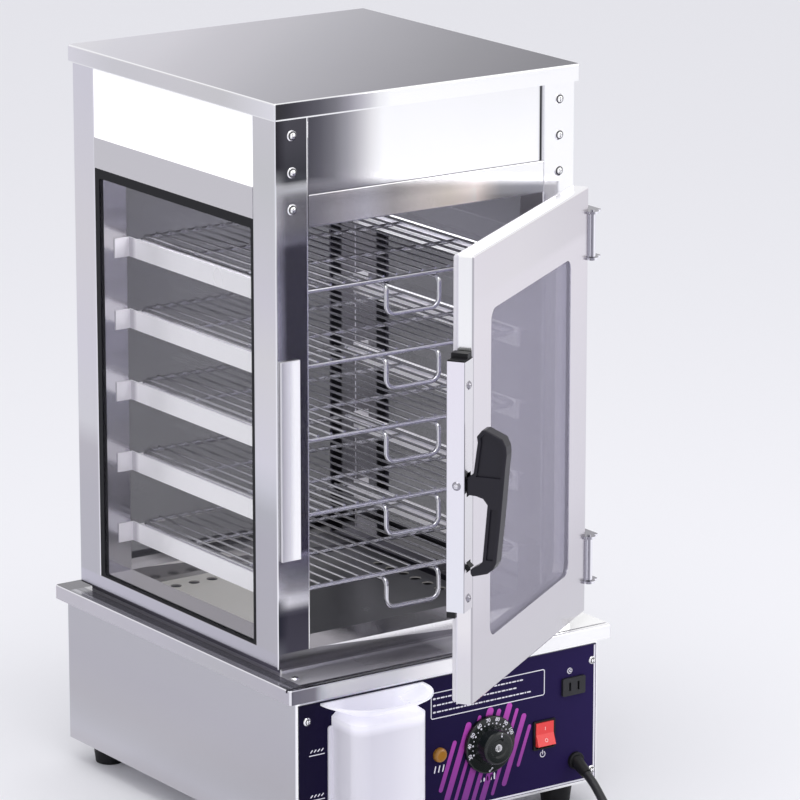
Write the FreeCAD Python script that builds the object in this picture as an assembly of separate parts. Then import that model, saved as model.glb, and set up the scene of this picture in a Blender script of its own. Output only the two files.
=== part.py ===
import FreeCAD, Part
import math
import os

from FreeCAD import Vector

# Steamed bun warmer: a glazed steel cabinet on a water-heated base.
# Millimetres. X to the right, Y to the back, Z up from the floor.
# The pieces are drawn about the middle of the cabinet's four posts, then moved back together so that
# the origin is on the floor under the middle of the whole, its door standing open and its cord left out.

# How far the origin lies ahead of the posts' middle
origin_ahead = 112.0

# Sheet and general fits
sheet = 1.0
fit = 0.2
seat_gap = 0.1
shaft_fit = 0.05
bend = 1.6

# Posts and the heights above the floor
posts_across = 353.9
posts_deep = 367.7
post_face_w = 38.0
post_side_w = 39.4
post_wall = 1.2
foot_h = 24.4
base_h = 165.3
neck_h = 6.7
sill_frame_h = 15.1
window_h = 426.1
header_h = 117.6
side_rail_h = 30.8
header_rail_h = 32.8
header_rail_drop = 6.7
header_depth = 30.0
header_fold = 12.0

# Cap
cap_sheet = 1.2
cap_side_lap = 3.05
cap_front_lap = 4.15
cap_h = 17.2
cap_corner = 2.4

# Ledge between the base and the cabinet
ledge_w = 388.4
ledge_d = 437.8
ledge_lip = 14.6
ledge_corner = 3.4
ledge_back_y = 207.5
gutter_set_back = 4.5
gutter_w = 3.0
gutter_deep = 3.0
neck_inset = 8.0

# Base box
base_w = 366.3
base_d = 425.2
base_back_y = 201.1
panel_t = 1.2
panel_w = 359.0
panel_bottom_gap = 3.0
panel_top_gap = 5.0
bottom_sheet = 1.2
vent_slot_l = 40.0
vent_slot_w = 5.0
vent_slots = 8

# Feet
foot_top_d = 35.0
foot_bottom_d = 29.0
foot_inset = 30.0
foot_edge = 1.5

# Light box
light_panel_t = 3.0
light_panel_recess = 0.6
lamp_d = 16.0
lamp_l = 240.0
lamp_holder_l = 16.0
lamp_holder_w = 24.0
lamp_lift = 42.0

# Windows: visible widths of the black rubber, then its section
rubber_back = 8.0
rubber_front = 4.6
rubber_top = 9.9
rubber_bottom = 2.6
rubber_end = 6.0
rubber_depth = 4.8
rubber_recess = 0.6
glass_t = 3.0
glass_bite = 1.6
glass_front_cover = 0.9
window_corner = 3.0

# Racks and rails
rack_levels = 5
top_rail_z = 561.5
rack_pitch = 74.6
rail_web_h = 20.0
rail_lip = 4.0
rail_ledge = 16.0
rail_t = 1.2
rail_inset = 1.0
rail_tab = 17.0
rack_w = 265.0
rack_front_y = -153.0
rack_back_y = 138.0
rack_wire = 5.0
grid_wire = 2.6
grid_wires = 17
cross_wire = 4.0
rack_corner = 12.0
pull_w = 68.0
pull_drop = 34.0
pull_wire = 5.0
pull_back = 18.0
pull_stand = 5.5
pull_top_r = 6.0
pull_low_r = 10.0

# Steam tank and baffle
tank_bottom_z = 50.0
tank_side_gap = 1.0
tank_rim = 10.0
element_d = 8.0
element_lift = 16.0
element_w = 90.0
element_reach = 230.0
element_plate_t = 3.0
element_plate_h = 26.0
element_stub = 14.0
baffle_t = 1.5
baffle_shelf = 8.0
steam_hole_d = 12.0
steam_hole_pitch = 22.0

# Control panel fittings: centres, then sizes
dial_x = 45.9
dial_z = 89.5
dial_d = 59.5
dial_rim_t = 4.5
dial_gap = 0.6
dial_grip_low_d = 40.5
dial_grip_top_d = 33.5
dial_h = 19.0
dial_dish_d = 20.5
dial_dish_deep = 2.0
dial_cap_d = 6.5
shaft_d = 6.0
shaft_hole_d = 10.0
thermostat_w = 44.0
thermostat_deep = 30.0
switch_x = 114.3
switch_z = 86.4
bezel_w = 27.0
bezel_h = 30.5
bezel_t = 2.0
switch_deep = 22.0
rocker_w = 21.5
rocker_h = 24.0
rocker_out = 5.0
rocker_valley = 2.2
rocker_pivot_in = 3.0
rocker_half_travel = 10.0
rocker_side_gap = 0.3
rocker_end_gap = 1.7
rocker_pin_d = 3.0
lamp_x = -13.8
indicator_z = 89.5
indicator_d = 15.0
indicator_out = 5.0
indicator_body_d = 12.0
indicator_deep = 18.0
socket_x = 150.3
socket_z = 131.0
socket_w = 28.0
socket_h = 18.5
socket_out = 3.0
socket_deep = 20.0
socket_slot_w = 2.4
socket_slot_h = 9.0
socket_slot_pitch = 10.5
gland_x = 154.2
gland_z = 51.2
gland_nut_d = 18.0
gland_nut_t = 4.0
gland_nose_d = 13.5
gland_tip_d = 11.2
gland_nose_l = 20.0
gland_nose_sunk = 2.0
gland_lean = 28.0
gland_thread_d = 12.0
gland_deep = 8.0

# Water cup
cup_x = -99.0
cup_rim_x = -94.5
cup_rim_w = 121.0
cup_rim_deep = 51.0
cup_rim_z = 169.0
cup_rim_corner = 47.0
cup_rim_t = 2.2
cup_neck_z = 160.0
cup_neck_w = 71.0
cup_neck_deep = 41.0
cup_neck_corner = 18.0
cup_shoulder_z = 153.5
cup_body_w = 86.0
cup_body_deep = 46.0
cup_body_corner = 15.0
cup_bottom_z = 46.0
cup_wall = 2.2
cup_flange_w = 4.6
cup_flange_t = 2.0
cup_flange_top_z = 144.4
cup_flange_corner = 3.0
cup_spout_d = 14.0
cup_spout_bore = 9.0
cup_spout_z = 62.0

# Hinges
hinge_x = 182.3
hinge_y = -207.0
hinge_low_z = 229.0
hinge_high_z = 562.5
hinge_h = 49.0
hinge_sheet = 2.5
hinge_pin_d = 4.0
hinge_barrel_d = 7.0
hinge_ear_r = 6.5
hinge_ear_reach = 12.3
hinge_web_l = 30.0
hinge_end_gap = 0.3
hinge_leaf_t = 1.3

# Door, measured shut
door_open = 34.0
door_edge_gap = 7.0
door_w = 327.0
door_h = 437.0
door_bottom_z = 200.5
door_face_y = -205.6
door_pan = 15.0
door_bend = 2.6
door_stile_free = 48.0
door_stile_hinge = 52.0
door_rail_top = 62.0
door_rail_bottom = 54.0
door_window_r = 12.0
door_glass_t = 4.0
door_glass_lap = 10.0
door_reveal_lap = 1.5
door_reveal_wall = 1.2
door_seal_w = 12.0
door_seal_t = 5.2
door_seal_inset = 1.2

# Latch
strike_x = -173.6
strike_w = 22.4
strike_z = 304.9
strike_l = 199.0
strike_t = 3.2
latch_w = 22.7
latch_z = 298.6
latch_l = 242.3
latch_deep = 18.3
latch_wall = 1.2
latch_block_top = 5.6
latch_block_low = 6.5
latch_block_rise = 1.0
latch_block_foot_w = 5.0
latch_nub_out = 4.0
latch_nub_low = 85.0
latch_nub_high = 74.5
latch_block_back = 0.3
latch_pocket_h = 34.0
latch_pocket_w = 13.0
latch_slot_spare = 2.0
handle_pivot_z = 421.6
handle_pivot_in = 8.0
handle_pin_d = 5.0
handle_w = 16.0
handle_tang_w = 9.0
handle_tang_r = 6.5
handle_edge = 1.5
handle_corner = 1.5
handle_band = 3.6
handle_hollow = 2.0

# Screws
screw_head_d = 8.8
post_screw_head_d = 10.8
screw_head_t = 2.4
screw_shank_d = 4.0
screw_shank_l = 6.0
screw_cross_l = 4.6
screw_cross_w = 0.9
screw_cross_deep = 1.0
post_screw_x = 157.7
post_screw_top_z = 722.8
post_screw_pitch = 35.9
post_screw_count = 3
panel_screw_left_x = -170.2
panel_screw_right_x = 175.0
panel_screw_high_z = 153.0
panel_screw_low_z = 37.3
ledge_screw_x = -167.0
ledge_screw_y = -198.0
strike_stud_inset = 22.0
stud_nut_d = 8.0
stud_nut_t = 3.2
stud_end = 1.5
latch_screw_low_inset = 12.0
latch_screw_high_inset = 24.0

# Power cord
cord_d = 9.0
cord_gap = 0.7
coil_start_y = -390.0
coil_start_r = 59.5
coil_turns_low = 2.0
coil_turns_high = 2.5
coil_tail = 37.0
plug_w = 38.0
plug_l = 36.0
plug_relief_d = 14.0
plug_relief_l = 20.0
pin_l = 18.0
pin_w = 6.3
pin_t = 1.6
pin_slant = 30.0
pin_spread = 7.9
earth_pin_down = 6.0

# Levels and planes worked out from the sizes above
half_x = posts_across / 2
half_y = posts_deep / 2
in_x = half_x - post_face_w
in_y = half_y - post_side_w
ledge_z = foot_h + base_h
frame_z = ledge_z + neck_h
sill_z = frame_z + sill_frame_h
head_z = sill_z + window_h
light_z = head_z + side_rail_h
post_top_z = head_z + header_h
header_rail_z = head_z - header_rail_drop
header_rail_top_z = header_rail_z + header_rail_h
top_z = post_top_z + cap_sheet
front_y = -half_y
ledge_front_y = ledge_back_y - ledge_d
panel_y = base_back_y - base_d
shell_y = panel_y + panel_t
door_x1 = hinge_x - door_edge_gap
door_x0 = door_x1 - door_w
hinge_at = Vector(hinge_x, hinge_y, 0)
up = Vector(0, 0, 1)
to_front = Vector(0, -1, 0)
to_back = Vector(0, 1, 0)
to_right = Vector(1, 0, 0)
to_left = Vector(-1, 0, 0)


def box(x0, x1, y0, y1, z0, z1):
    return Part.makeBox(x1 - x0, y1 - y0, z1 - z0, Vector(x0, y0, z0))


def edges_along(shape, axis):
    found = []
    for edge in shape.Edges:
        if edge.Curve.TypeId == "Part::GeomLine":
            if abs(edge.tangentAt(edge.FirstParameter).dot(axis)) > 0.999:
                found.append(edge)
    return found


def rounded(x0, x1, y0, y1, z0, z1, radius, axis):
    block = box(x0, x1, y0, y1, z0, z1)
    return block.makeFillet(radius, edges_along(block, axis))


def soft_face(shape, radius, normal):
    """Rounds the edges round the outermost face that looks along normal."""
    faces = [f for f in shape.Faces if f.normalAt(0, 0).dot(normal) > 0.999]
    outer = max(faces, key=lambda f: f.CenterOfMass.dot(normal))
    return shape.makeFillet(radius, outer.OuterWire.Edges)


def rod(start, end, diameter):
    along = end - start
    return Part.makeCylinder(diameter / 2, along.Length, start, along)


def cone(start, end, d0, d1):
    along = end - start
    return Part.makeCone(d0 / 2, d1 / 2, along.Length, start, along)


def way_at_start(path):
    edge = path.OrderedEdges[0]
    return edge.tangentAt(edge.FirstParameter)


def fuse(shapes):
    whole = shapes[0].multiFuse(shapes[1:]) if len(shapes) > 1 else shapes[0]
    return whole.removeSplitter()


def group(shapes):
    return Part.makeCompound(shapes)


def mirrored(shape):
    return shape.mirror(Vector(0, 0, 0), Vector(1, 0, 0))


def screw(at, out, head_d=screw_head_d):
    """A pan-head screw with a crossed recess, its head standing off the surface at the point."""
    dome_r = (head_d**2 / 4 + screw_head_t**2) / (2 * screw_head_t)
    head = Part.makeSphere(dome_r, at + out * (screw_head_t - dome_r))
    head = head.common(rod(at, at + out * screw_head_t * 2, head_d))
    across = out.cross(up) if abs(out.dot(up)) < 0.5 else Vector(1, 0, 0)
    other = out.cross(across)
    for side in (across, other):
        start = at + out * (screw_head_t - screw_cross_deep)
        bar = box(-screw_cross_l / 2, screw_cross_l / 2, -screw_cross_w / 2, screw_cross_w / 2, 0, screw_head_t)
        bar.Placement = FreeCAD.Placement(start, FreeCAD.Rotation(side, out.cross(side), out, "ZXY"))
        head = head.cut(bar)
    shank = rod(at, at - out * screw_shank_l, screw_shank_d)
    return head.fuse(shank)


def screw_hole(at, out):
    return rod(at + out, at - out * (screw_shank_l + 1), screw_shank_d + 2 * fit)


# Screw positions, each with the way its head looks

def post_screw_spots():
    spots = []
    for side in (-1, 1):
        for i in range(post_screw_count):
            z = post_screw_top_z - i * post_screw_pitch
            spots.append(Vector(side * post_screw_x, front_y, z))
    return spots


def panel_screw_spots():
    spots = []
    for x in (panel_screw_left_x, panel_screw_right_x):
        for z in (panel_screw_low_z, panel_screw_high_z):
            spots.append(Vector(x, panel_y, z))
    return spots


def strike_stud_spots():
    x = strike_x + strike_w / 2
    low = strike_z + strike_stud_inset
    high = strike_z + strike_l - strike_stud_inset
    return [Vector(x, front_y, z) for z in (low, high)]


def ledge_screw_spots():
    return [Vector(ledge_screw_x, ledge_screw_y, ledge_z)]


def latch_screw_spots():
    x = door_x0 - latch_w / 2
    low = latch_z + latch_screw_low_inset
    high = latch_z + latch_l - latch_screw_high_inset
    return [Vector(x, door_face_y, z) for z in (low, high)]


# Cabinet frame

def make_top_cap():
    x = half_x + cap_side_lap
    y = half_y + cap_front_lap
    lid = rounded(-x, x, -y, y, top_z - cap_h, top_z, cap_corner, up)
    lid = soft_face(lid, bend, up)
    hollow = rounded(
        -x + cap_sheet, x - cap_sheet, -y + cap_sheet, y - cap_sheet,
        top_z - cap_h, post_top_z, cap_corner - cap_sheet, up,
    )
    return lid.cut(hollow)


def make_post(side_x, side_y):
    xs = sorted((side_x * half_x, side_x * in_x))
    ys = sorted((side_y * half_y, side_y * in_y))
    tube = rounded(xs[0], xs[1], ys[0], ys[1], sill_z, post_top_z, bend, up)
    wall = post_wall
    tube = tube.cut(box(xs[0] + wall, xs[1] - wall, ys[0] + wall, ys[1] - wall, sill_z, post_top_z))
    for spot in post_screw_spots():
        tube = tube.cut(screw_hole(spot, to_front))
    for spot in strike_stud_spots():
        tube = tube.cut(screw_hole(spot, to_front))
    return tube


def make_header_panel():
    x = in_x - fit
    z0 = header_rail_top_z + fit
    block = box(-x, x, front_y, front_y + header_fold, z0, post_top_z)
    hollow = box(-x, x, front_y + sheet, front_y + header_fold, z0 + sheet, post_top_z - sheet)
    return block.cut(hollow)


def make_header_rail():
    x = in_x - fit
    y1 = front_y + header_depth
    block = rounded(-x, x, front_y, y1, header_rail_z, header_rail_top_z, bend, to_right)
    return block.cut(
        box(-x, x, front_y + sheet, y1 - sheet, header_rail_z + sheet, header_rail_top_z - sheet)
    )


def make_back_header():
    x = in_x - fit
    y0 = half_y - header_fold
    block = box(-x, x, y0, half_y, head_z, post_top_z)
    return block.cut(box(-x, x, y0, half_y - sheet, head_z + sheet, post_top_z - sheet))


def make_side_header_left():
    y = in_y - fit
    x1 = -half_x + header_fold
    block = box(-half_x, x1, -y, y, head_z, light_z)
    return block.cut(box(-half_x + sheet, x1, -y, y, head_z + sheet, light_z - sheet))


def make_light_panel_left():
    y = in_y - fit
    x0 = -half_x + light_panel_recess
    return box(x0, x0 + light_panel_t, -y, y, light_z, post_top_z)


def make_chamber_ceiling():
    z0 = head_z + sheet
    side_x = half_x - sheet - fit
    long_x = in_x - fit
    y0 = front_y + header_depth + fit
    y1 = half_y - sheet - fit
    wide = box(-side_x, side_x, -in_y + fit, in_y - fit, z0, z0 + sheet)
    long = box(-long_x, long_x, y0, y1, z0, z0 + sheet)
    return fuse([wide, long])


def make_light_tube():
    floor = head_z + 2 * sheet
    z = floor + lamp_lift
    ends = lamp_l / 2
    parts = [rod(Vector(-ends, 0, z), Vector(ends, 0, z), lamp_d)]
    for side in (-1, 1):
        xs = sorted((side * ends, side * (ends + lamp_holder_l)))
        top = z + lamp_holder_w / 2
        parts.append(
            rounded(xs[0], xs[1], -lamp_holder_w / 2, lamp_holder_w / 2, floor, top, 2 * bend, to_right)
        )
    return group(parts)


def make_bottom_frame():
    outer = rounded(-half_x, half_x, -half_y, half_y, frame_z, sill_z, bend, up)
    nx = half_x - neck_inset
    ny = half_y - neck_inset
    neck = rounded(-nx, nx, -ny, ny, ledge_z, frame_z + sheet, bend, up)
    body = fuse([outer, neck])
    wide = box(-half_x + sheet, half_x - sheet, -half_y + sheet, half_y - sheet, frame_z + sheet, sill_z - sheet)
    low = box(-nx + sheet, nx - sheet, -ny + sheet, ny - sheet, ledge_z, frame_z + sheet)
    wall_x = in_x + sheet
    wall_y = in_y + sheet
    core = box(-wall_x, wall_x, -wall_y, wall_y, ledge_z, sill_z)
    body = body.cut(wide.cut(core))
    body = body.cut(low.cut(core))
    body = body.cut(box(-in_x, in_x, -in_y, in_y, ledge_z, sill_z))
    shelf = box(-in_x, in_x, -in_y, in_y, ledge_z, ledge_z + sheet)
    reach = baffle_shelf
    shelf = shelf.cut(box(-in_x + reach, in_x - reach, -in_y + reach, in_y - reach, ledge_z, ledge_z + sheet))
    return fuse([body, shelf])


# Windows

def rubber_with_pocket(outer, inner, glass):
    return outer.cut(inner).cut(glass)


def side_window_left():
    """The left window's rubber frame and pane, between the left posts."""
    x0 = -half_x + rubber_recess
    x1 = x0 + rubber_depth
    y0 = -in_y
    y1 = in_y
    outer = box(x0, x1, y0, y1, sill_z, head_z)
    clear = rounded(
        x0, x1, y0 + rubber_front, y1 - rubber_back,
        sill_z + rubber_bottom, head_z - rubber_top, window_corner, to_right,
    )
    bite = glass_bite
    gx = x0 + glass_front_cover
    pane = box(
        gx, gx + glass_t, y0 + rubber_front - bite, y1 - rubber_back + bite,
        sill_z + rubber_bottom - bite, head_z - rubber_top + bite,
    )
    return rubber_with_pocket(outer, clear, pane), pane


def back_window():
    y1 = half_y - rubber_recess
    y0 = y1 - rubber_depth
    outer = box(-in_x, in_x, y0, y1, sill_z, head_z)
    edge = rubber_end
    clear = rounded(-in_x + edge, in_x - edge, y0, y1, sill_z + edge, head_z - edge, window_corner, to_back)
    keep = edge - glass_bite
    gy = y1 - glass_front_cover
    pane = box(-in_x + keep, in_x - keep, gy - glass_t, gy, sill_z + keep, head_z - keep)
    return rubber_with_pocket(outer, clear, pane), pane


# Racks

def rail_top(level):
    return top_rail_z - level * rack_pitch


def rack_axis_z(level):
    return rail_top(level) - rail_lip + seat_gap + rack_wire / 2


def make_rail_left(level):
    """An angle rail: upright web, ledge turned in, and an end tab against each post."""
    z1 = rail_top(level)
    z0 = z1 - rail_web_h
    x0 = -in_x + rail_inset
    y = in_y
    web = box(x0, x0 + rail_t, -y, y, z0, z1)
    ledge = box(x0, x0 + rail_ledge, -y, y, z1 - rail_lip - rail_t, z1 - rail_lip)
    tab_x = x0 - rail_tab
    front_tab = box(tab_x, x0 + rail_t, -y, -y + rail_t, z0, z1)
    back_tab = box(tab_x, x0 + rail_t, y - rail_t, y, z0, z1)
    return fuse([web, ledge, front_tab, back_tab])


def make_rack(level):
    """A wire grid: a round-cornered frame wire with long wires on it and two cross wires below."""
    z = rack_axis_z(level)
    x = rack_w / 2 - rack_wire / 2
    y0 = rack_front_y
    y1 = rack_back_y
    r = rack_corner
    outline = []
    corners = (
        (x - r, y0 + r, 270),
        (x - r, y1 - r, 0),
        (-x + r, y1 - r, 90),
        (-x + r, y0 + r, 180),
    )
    for i, (cx, cy, start) in enumerate(corners):
        arc = Part.Circle(Vector(cx, cy, z), up, r)
        outline.append(Part.Arc(arc, math.radians(start), math.radians(start + 90)).toShape())
        ex, ey, nxt = corners[(i + 1) % 4]
        a = Vector(cx + r * math.cos(math.radians(start + 90)), cy + r * math.sin(math.radians(start + 90)), z)
        b = Vector(ex + r * math.cos(math.radians(nxt)), ey + r * math.sin(math.radians(nxt)), z)
        outline.append(Part.makeLine(a, b))
    path = Part.Wire(Part.__sortEdges__(outline))
    section = Part.Wire(Part.Circle(path.Vertexes[0].Point, way_at_start(path), rack_wire / 2).toShape())
    frame_wire = path.makePipeShell([section], True, False)
    weld = grid_wire / 4
    grid_z = z + rack_wire / 2 + grid_wire / 2 - weld
    wires = [frame_wire]
    step = 2 * (x - r / 2) / (grid_wires - 1)
    for i in range(grid_wires):
        gx = -x + r / 2 + i * step
        reach = 0 if abs(gx) < x - r else r / 3
        wires.append(rod(Vector(gx, y0 + reach, grid_z), Vector(gx, y1 - reach, grid_z), grid_wire))
    low_z = grid_z - grid_wire / 2 - cross_wire / 2 + weld
    third = (y1 - y0) / 3
    for i in (1, 2):
        wires.append(rod(Vector(-x, y0 + i * third, low_z), Vector(x, y0 + i * third, low_z), cross_wire))
    return fuse(wires)


def make_rack_pull(level):
    """The rack's hanging wire pull: two arms under the front wire, turned down into a U."""
    z0 = rack_axis_z(level) - rack_wire / 2 - pull_wire / 2 - seat_gap
    y0 = rack_front_y - pull_stand
    x = pull_w / 2 - pull_wire / 2
    z_low = z0 - pull_drop + pull_wire
    r = pull_top_r
    q = pull_low_r

    def side_arc(sx):
        a = Vector(sx * x, y0 + r, z0)
        b = Vector(sx * x, y0 + r - r * math.sin(math.pi / 4), z0 - r + r * math.cos(math.pi / 4))
        c = Vector(sx * x, y0, z0 - r)
        return a, b, c

    def low_arc(sx):
        a = Vector(sx * x, y0, z_low + q)
        k = q * math.cos(math.pi / 4)
        b = Vector(sx * (x - q + k), y0, z_low + q - k)
        c = Vector(sx * (x - q), y0, z_low)
        return a, b, c

    la, lb, lc = side_arc(-1)
    ra, rb, rc = side_arc(1)
    ma, mb, mc = low_arc(-1)
    na, nb, nc = low_arc(1)
    edges = [
        Part.makeLine(Vector(-x, y0 + r + pull_back, z0), la),
        Part.Arc(la, lb, lc).toShape(),
        Part.makeLine(lc, ma),
        Part.Arc(ma, mb, mc).toShape(),
        Part.makeLine(mc, nc),
        Part.Arc(nc, nb, na).toShape(),
        Part.makeLine(na, rc),
        Part.Arc(rc, rb, ra).toShape(),
        Part.makeLine(ra, Vector(x, y0 + r + pull_back, z0)),
    ]
    path = Part.Wire(edges)
    section = Part.Wire(Part.Circle(Vector(-x, y0 + r + pull_back, z0), to_back, pull_wire / 2).toShape())
    return path.makePipeShell([section], True, False)


# Base

def make_base_top():
    x = ledge_w / 2
    z0 = ledge_z - ledge_lip
    y0 = ledge_front_y
    y1 = ledge_back_y
    tray = rounded(-x, x, y0, y1, z0, ledge_z, ledge_corner, up)
    tray = soft_face(tray, bend, up)
    under = box(-x + sheet, x - sheet, y0 + sheet, y1 - sheet, z0, ledge_z - sheet)
    tray = tray.cut(under)
    g0 = y0 + gutter_set_back
    g1 = g0 + gutter_w
    channel = box(-x + sheet / 2, x - sheet / 2, g0 - sheet, g1 + sheet, ledge_z - gutter_deep - sheet, ledge_z - sheet / 2)
    tray = fuse([tray, channel])
    tray = tray.cut(box(-x, x, g0, g1, ledge_z - gutter_deep, ledge_z + sheet))
    tray = tray.cut(box(-in_x, in_x, -in_y, in_y, z0, ledge_z + sheet))
    for spot in ledge_screw_spots():
        tray = tray.cut(screw_hole(spot, up))
    return tray


def panel_openings(y0, y1):
    """Everything that goes through the panel and the base's front wall."""
    def round_hole(x, z, diameter):
        return rod(Vector(x, y0, z), Vector(x, y1, z), diameter)

    def square_hole(x, z, w, h):
        return box(x - w / 2, x + w / 2, y0, y1, z - h / 2, z + h / 2)

    return [
        round_hole(dial_x, dial_z, shaft_hole_d),
        round_hole(lamp_x, indicator_z, indicator_body_d + 2 * fit),
        round_hole(gland_x, gland_z, gland_thread_d + 2 * fit),
        round_hole(cup_x, cup_spout_z, cup_spout_d + 2 * fit),
        square_hole(switch_x, switch_z, bezel_w - 2 * bezel_t + 2 * fit, bezel_h - bezel_t + 2 * fit),
        square_hole(socket_x, socket_z, socket_w - 2 * bezel_t + 2 * fit, socket_h - bezel_t + 2 * fit),
    ]


def make_base_shell():
    x = base_w / 2
    y0 = shell_y
    y1 = base_back_y
    z0 = foot_h + bottom_sheet
    z1 = ledge_z - sheet
    shell = rounded(-x, x, y0, y1, z0, z1, bend, up)
    shell = shell.cut(box(-x + sheet, x - sheet, y0 + sheet, y1 - sheet, z0, z1))
    room = gutter_set_back + gutter_w + 2 * sheet
    notch = ledge_front_y + room
    if notch > y0:
        shell = shell.cut(box(-x, x, y0 - 1, notch, z1 - gutter_deep, z1))
    for hole in panel_openings(y0 - 1, y0 + sheet + 1):
        shell = shell.cut(hole)
    for spot in panel_screw_spots():
        shell = shell.cut(screw_hole(spot, to_front))
    return shell


def make_base_bottom():
    x = base_w / 2
    plate = rounded(-x, x, shell_y, base_back_y, foot_h, foot_h + bottom_sheet, bend, up)
    middle = (shell_y + base_back_y) / 2
    pitch = 3 * vent_slot_w
    for i in range(vent_slots):
        y = middle + (i - (vent_slots - 1) / 2) * pitch
        slot = box(-vent_slot_l, vent_slot_l, y - vent_slot_w / 2, y + vent_slot_w / 2, foot_h, foot_h + bottom_sheet)
        plate = plate.cut(slot)
    return plate


def make_feet():
    feet = []
    for x in (-base_w / 2 + foot_inset, base_w / 2 - foot_inset):
        for y in (shell_y + foot_inset, base_back_y - foot_inset):
            foot = cone(Vector(x, y, 0), Vector(x, y, foot_h), foot_bottom_d, foot_top_d)
            feet.append(foot.makeFillet(foot_edge, [foot.Edges[2]]))
    return group(feet)


def make_water_tank():
    x = in_x + tank_side_gap
    y = in_y + tank_side_gap
    z1 = ledge_z - sheet
    tank = rounded(-x - sheet, x + sheet, -y - sheet, y + sheet, tank_bottom_z, z1, bend * 2, up)
    rim = rounded(-x - tank_rim, x + tank_rim, -y - tank_rim, y + tank_rim, z1 - sheet, z1, bend, up)
    tank = fuse([tank, rim])
    tank = tank.cut(rounded(-x, x, -y, y, tank_bottom_z + sheet, z1, bend, up))
    wall = -y - sheet
    for hx in (-element_w / 2, element_w / 2):
        z = tank_bottom_z + element_lift
        tank = tank.cut(rod(Vector(hx, wall - 1, z), Vector(hx, wall + sheet + 1, z), element_d + 2 * fit))
    spout = rod(Vector(cup_x, wall - 1, cup_spout_z), Vector(cup_x, wall + sheet + 1, cup_spout_z), cup_spout_d + 2 * fit)
    return tank.cut(spout)


def make_heating_element():
    """A U-shaped sheathed heater whose two ends pass through a plate on the tank's front wall."""
    z = tank_bottom_z + element_lift
    r = element_w / 2
    wall = -in_y - tank_side_gap - sheet
    turn_y = wall + element_reach - r
    start_y = wall - element_plate_t - element_stub
    plate = box(-r - element_plate_h / 2, r + element_plate_h / 2, wall - element_plate_t, wall, z - element_plate_h / 2, z + element_plate_h / 2)
    edges = [
        Part.makeLine(Vector(-r, start_y, z), Vector(-r, turn_y, z)),
        Part.Arc(Vector(-r, turn_y, z), Vector(0, turn_y + r, z), Vector(r, turn_y, z)).toShape(),
        Part.makeLine(Vector(r, turn_y, z), Vector(r, start_y, z)),
    ]
    section = Part.Wire(Part.Circle(Vector(-r, start_y, z), to_back, element_d / 2).toShape())
    tube = Part.Wire(edges).makePipeShell([section], True, False)
    return fuse([tube, plate])


def make_baffle():
    """A sheet over the tank that spreads the steam through rows of holes along three edges."""
    x = in_x - fit
    y = in_y - fit
    z0 = ledge_z + sheet
    plate = box(-x, x, -y, y, z0, z0 + baffle_t)
    hole_r = steam_hole_d / 2
    edge = baffle_shelf + steam_hole_d
    rows = int((2 * y - 4 * edge) / steam_hole_pitch)
    for side in (-1, 1):
        for i in range(rows):
            hy = -y + 2 * edge + i * steam_hole_pitch
            at = Vector(side * (x - edge), hy, z0)
            plate = plate.cut(Part.makeCylinder(hole_r, baffle_t, at, up))
    back = int((2 * x - 4 * edge) / steam_hole_pitch)
    for i in range(back):
        at = Vector(-x + 2 * edge + i * steam_hole_pitch, y - edge, z0)
        plate = plate.cut(Part.makeCylinder(hole_r, baffle_t, at, up))
    return plate


def make_control_panel():
    z0 = foot_h + panel_bottom_gap
    z1 = ledge_z - ledge_lip - panel_top_gap
    plate = box(-panel_w / 2, panel_w / 2, panel_y, shell_y, z0, z1)
    for hole in panel_openings(panel_y - 1, shell_y + 1):
        plate = plate.cut(hole)
    for spot in panel_screw_spots():
        plate = plate.cut(screw_hole(spot, to_front))
    return plate


# Control panel fittings

def make_thermostat_body():
    y0 = shell_y + sheet
    w = thermostat_w / 2
    body = rounded(dial_x - w, dial_x + w, y0, y0 + thermostat_deep, dial_z - w, dial_z + w, 2 * bend, to_back)
    bore = rod(Vector(dial_x, y0, dial_z), Vector(dial_x, y0 + thermostat_deep - 2 * sheet, dial_z), shaft_d + 2 * shaft_fit)
    return body.cut(bore)


def make_thermostat_knob():
    back = panel_y - dial_gap
    c = Vector(dial_x, back, dial_z)
    rim = Part.makeCylinder(dial_d / 2, dial_rim_t, c, to_front)
    rim = soft_face(rim, bend, to_front)
    grip_start = c + to_front * dial_rim_t
    top = c + to_front * dial_h
    grip = cone(grip_start, top, dial_grip_low_d, dial_grip_top_d)
    grip = soft_face(grip, 2 * bend, to_front)
    body = fuse([rim, grip])
    dish_start = top - to_front * dial_dish_deep
    body = body.cut(cone(dish_start, top, dial_dish_d - 2 * dial_dish_deep, dial_dish_d))
    cap = rod(dish_start, top - to_front * bend, dial_cap_d)
    shaft = rod(c, Vector(dial_x, shell_y + sheet + thermostat_deep - 4 * sheet, dial_z), shaft_d)
    return fuse([body, cap, shaft])


def make_switch_housing():
    x = switch_x
    z = switch_z
    wide = bezel_w / 2
    tall = bezel_h / 2
    face = rounded(x - wide, x + wide, panel_y - bezel_t, panel_y, z - tall, z + tall, bend, to_back)
    inner_w = wide - bezel_t
    inner_h = tall - bezel_t / 2
    body = box(x - inner_w, x + inner_w, panel_y, panel_y + switch_deep, z - inner_h, z + inner_h)
    whole = fuse([face, body])
    room_w = rocker_w / 2 + rocker_side_gap
    room_h = rocker_h / 2 + rocker_end_gap
    room_deep = switch_deep - 2 * sheet
    whole = whole.cut(box(x - room_w, x + room_w, panel_y - bezel_t, panel_y + room_deep, z - room_h, z + room_h))
    pin_y = panel_y + rocker_pivot_in
    pin = rod(Vector(x - inner_w, pin_y, z), Vector(x + inner_w, pin_y, z), rocker_pin_d)
    return fuse([whole, pin])


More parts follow.
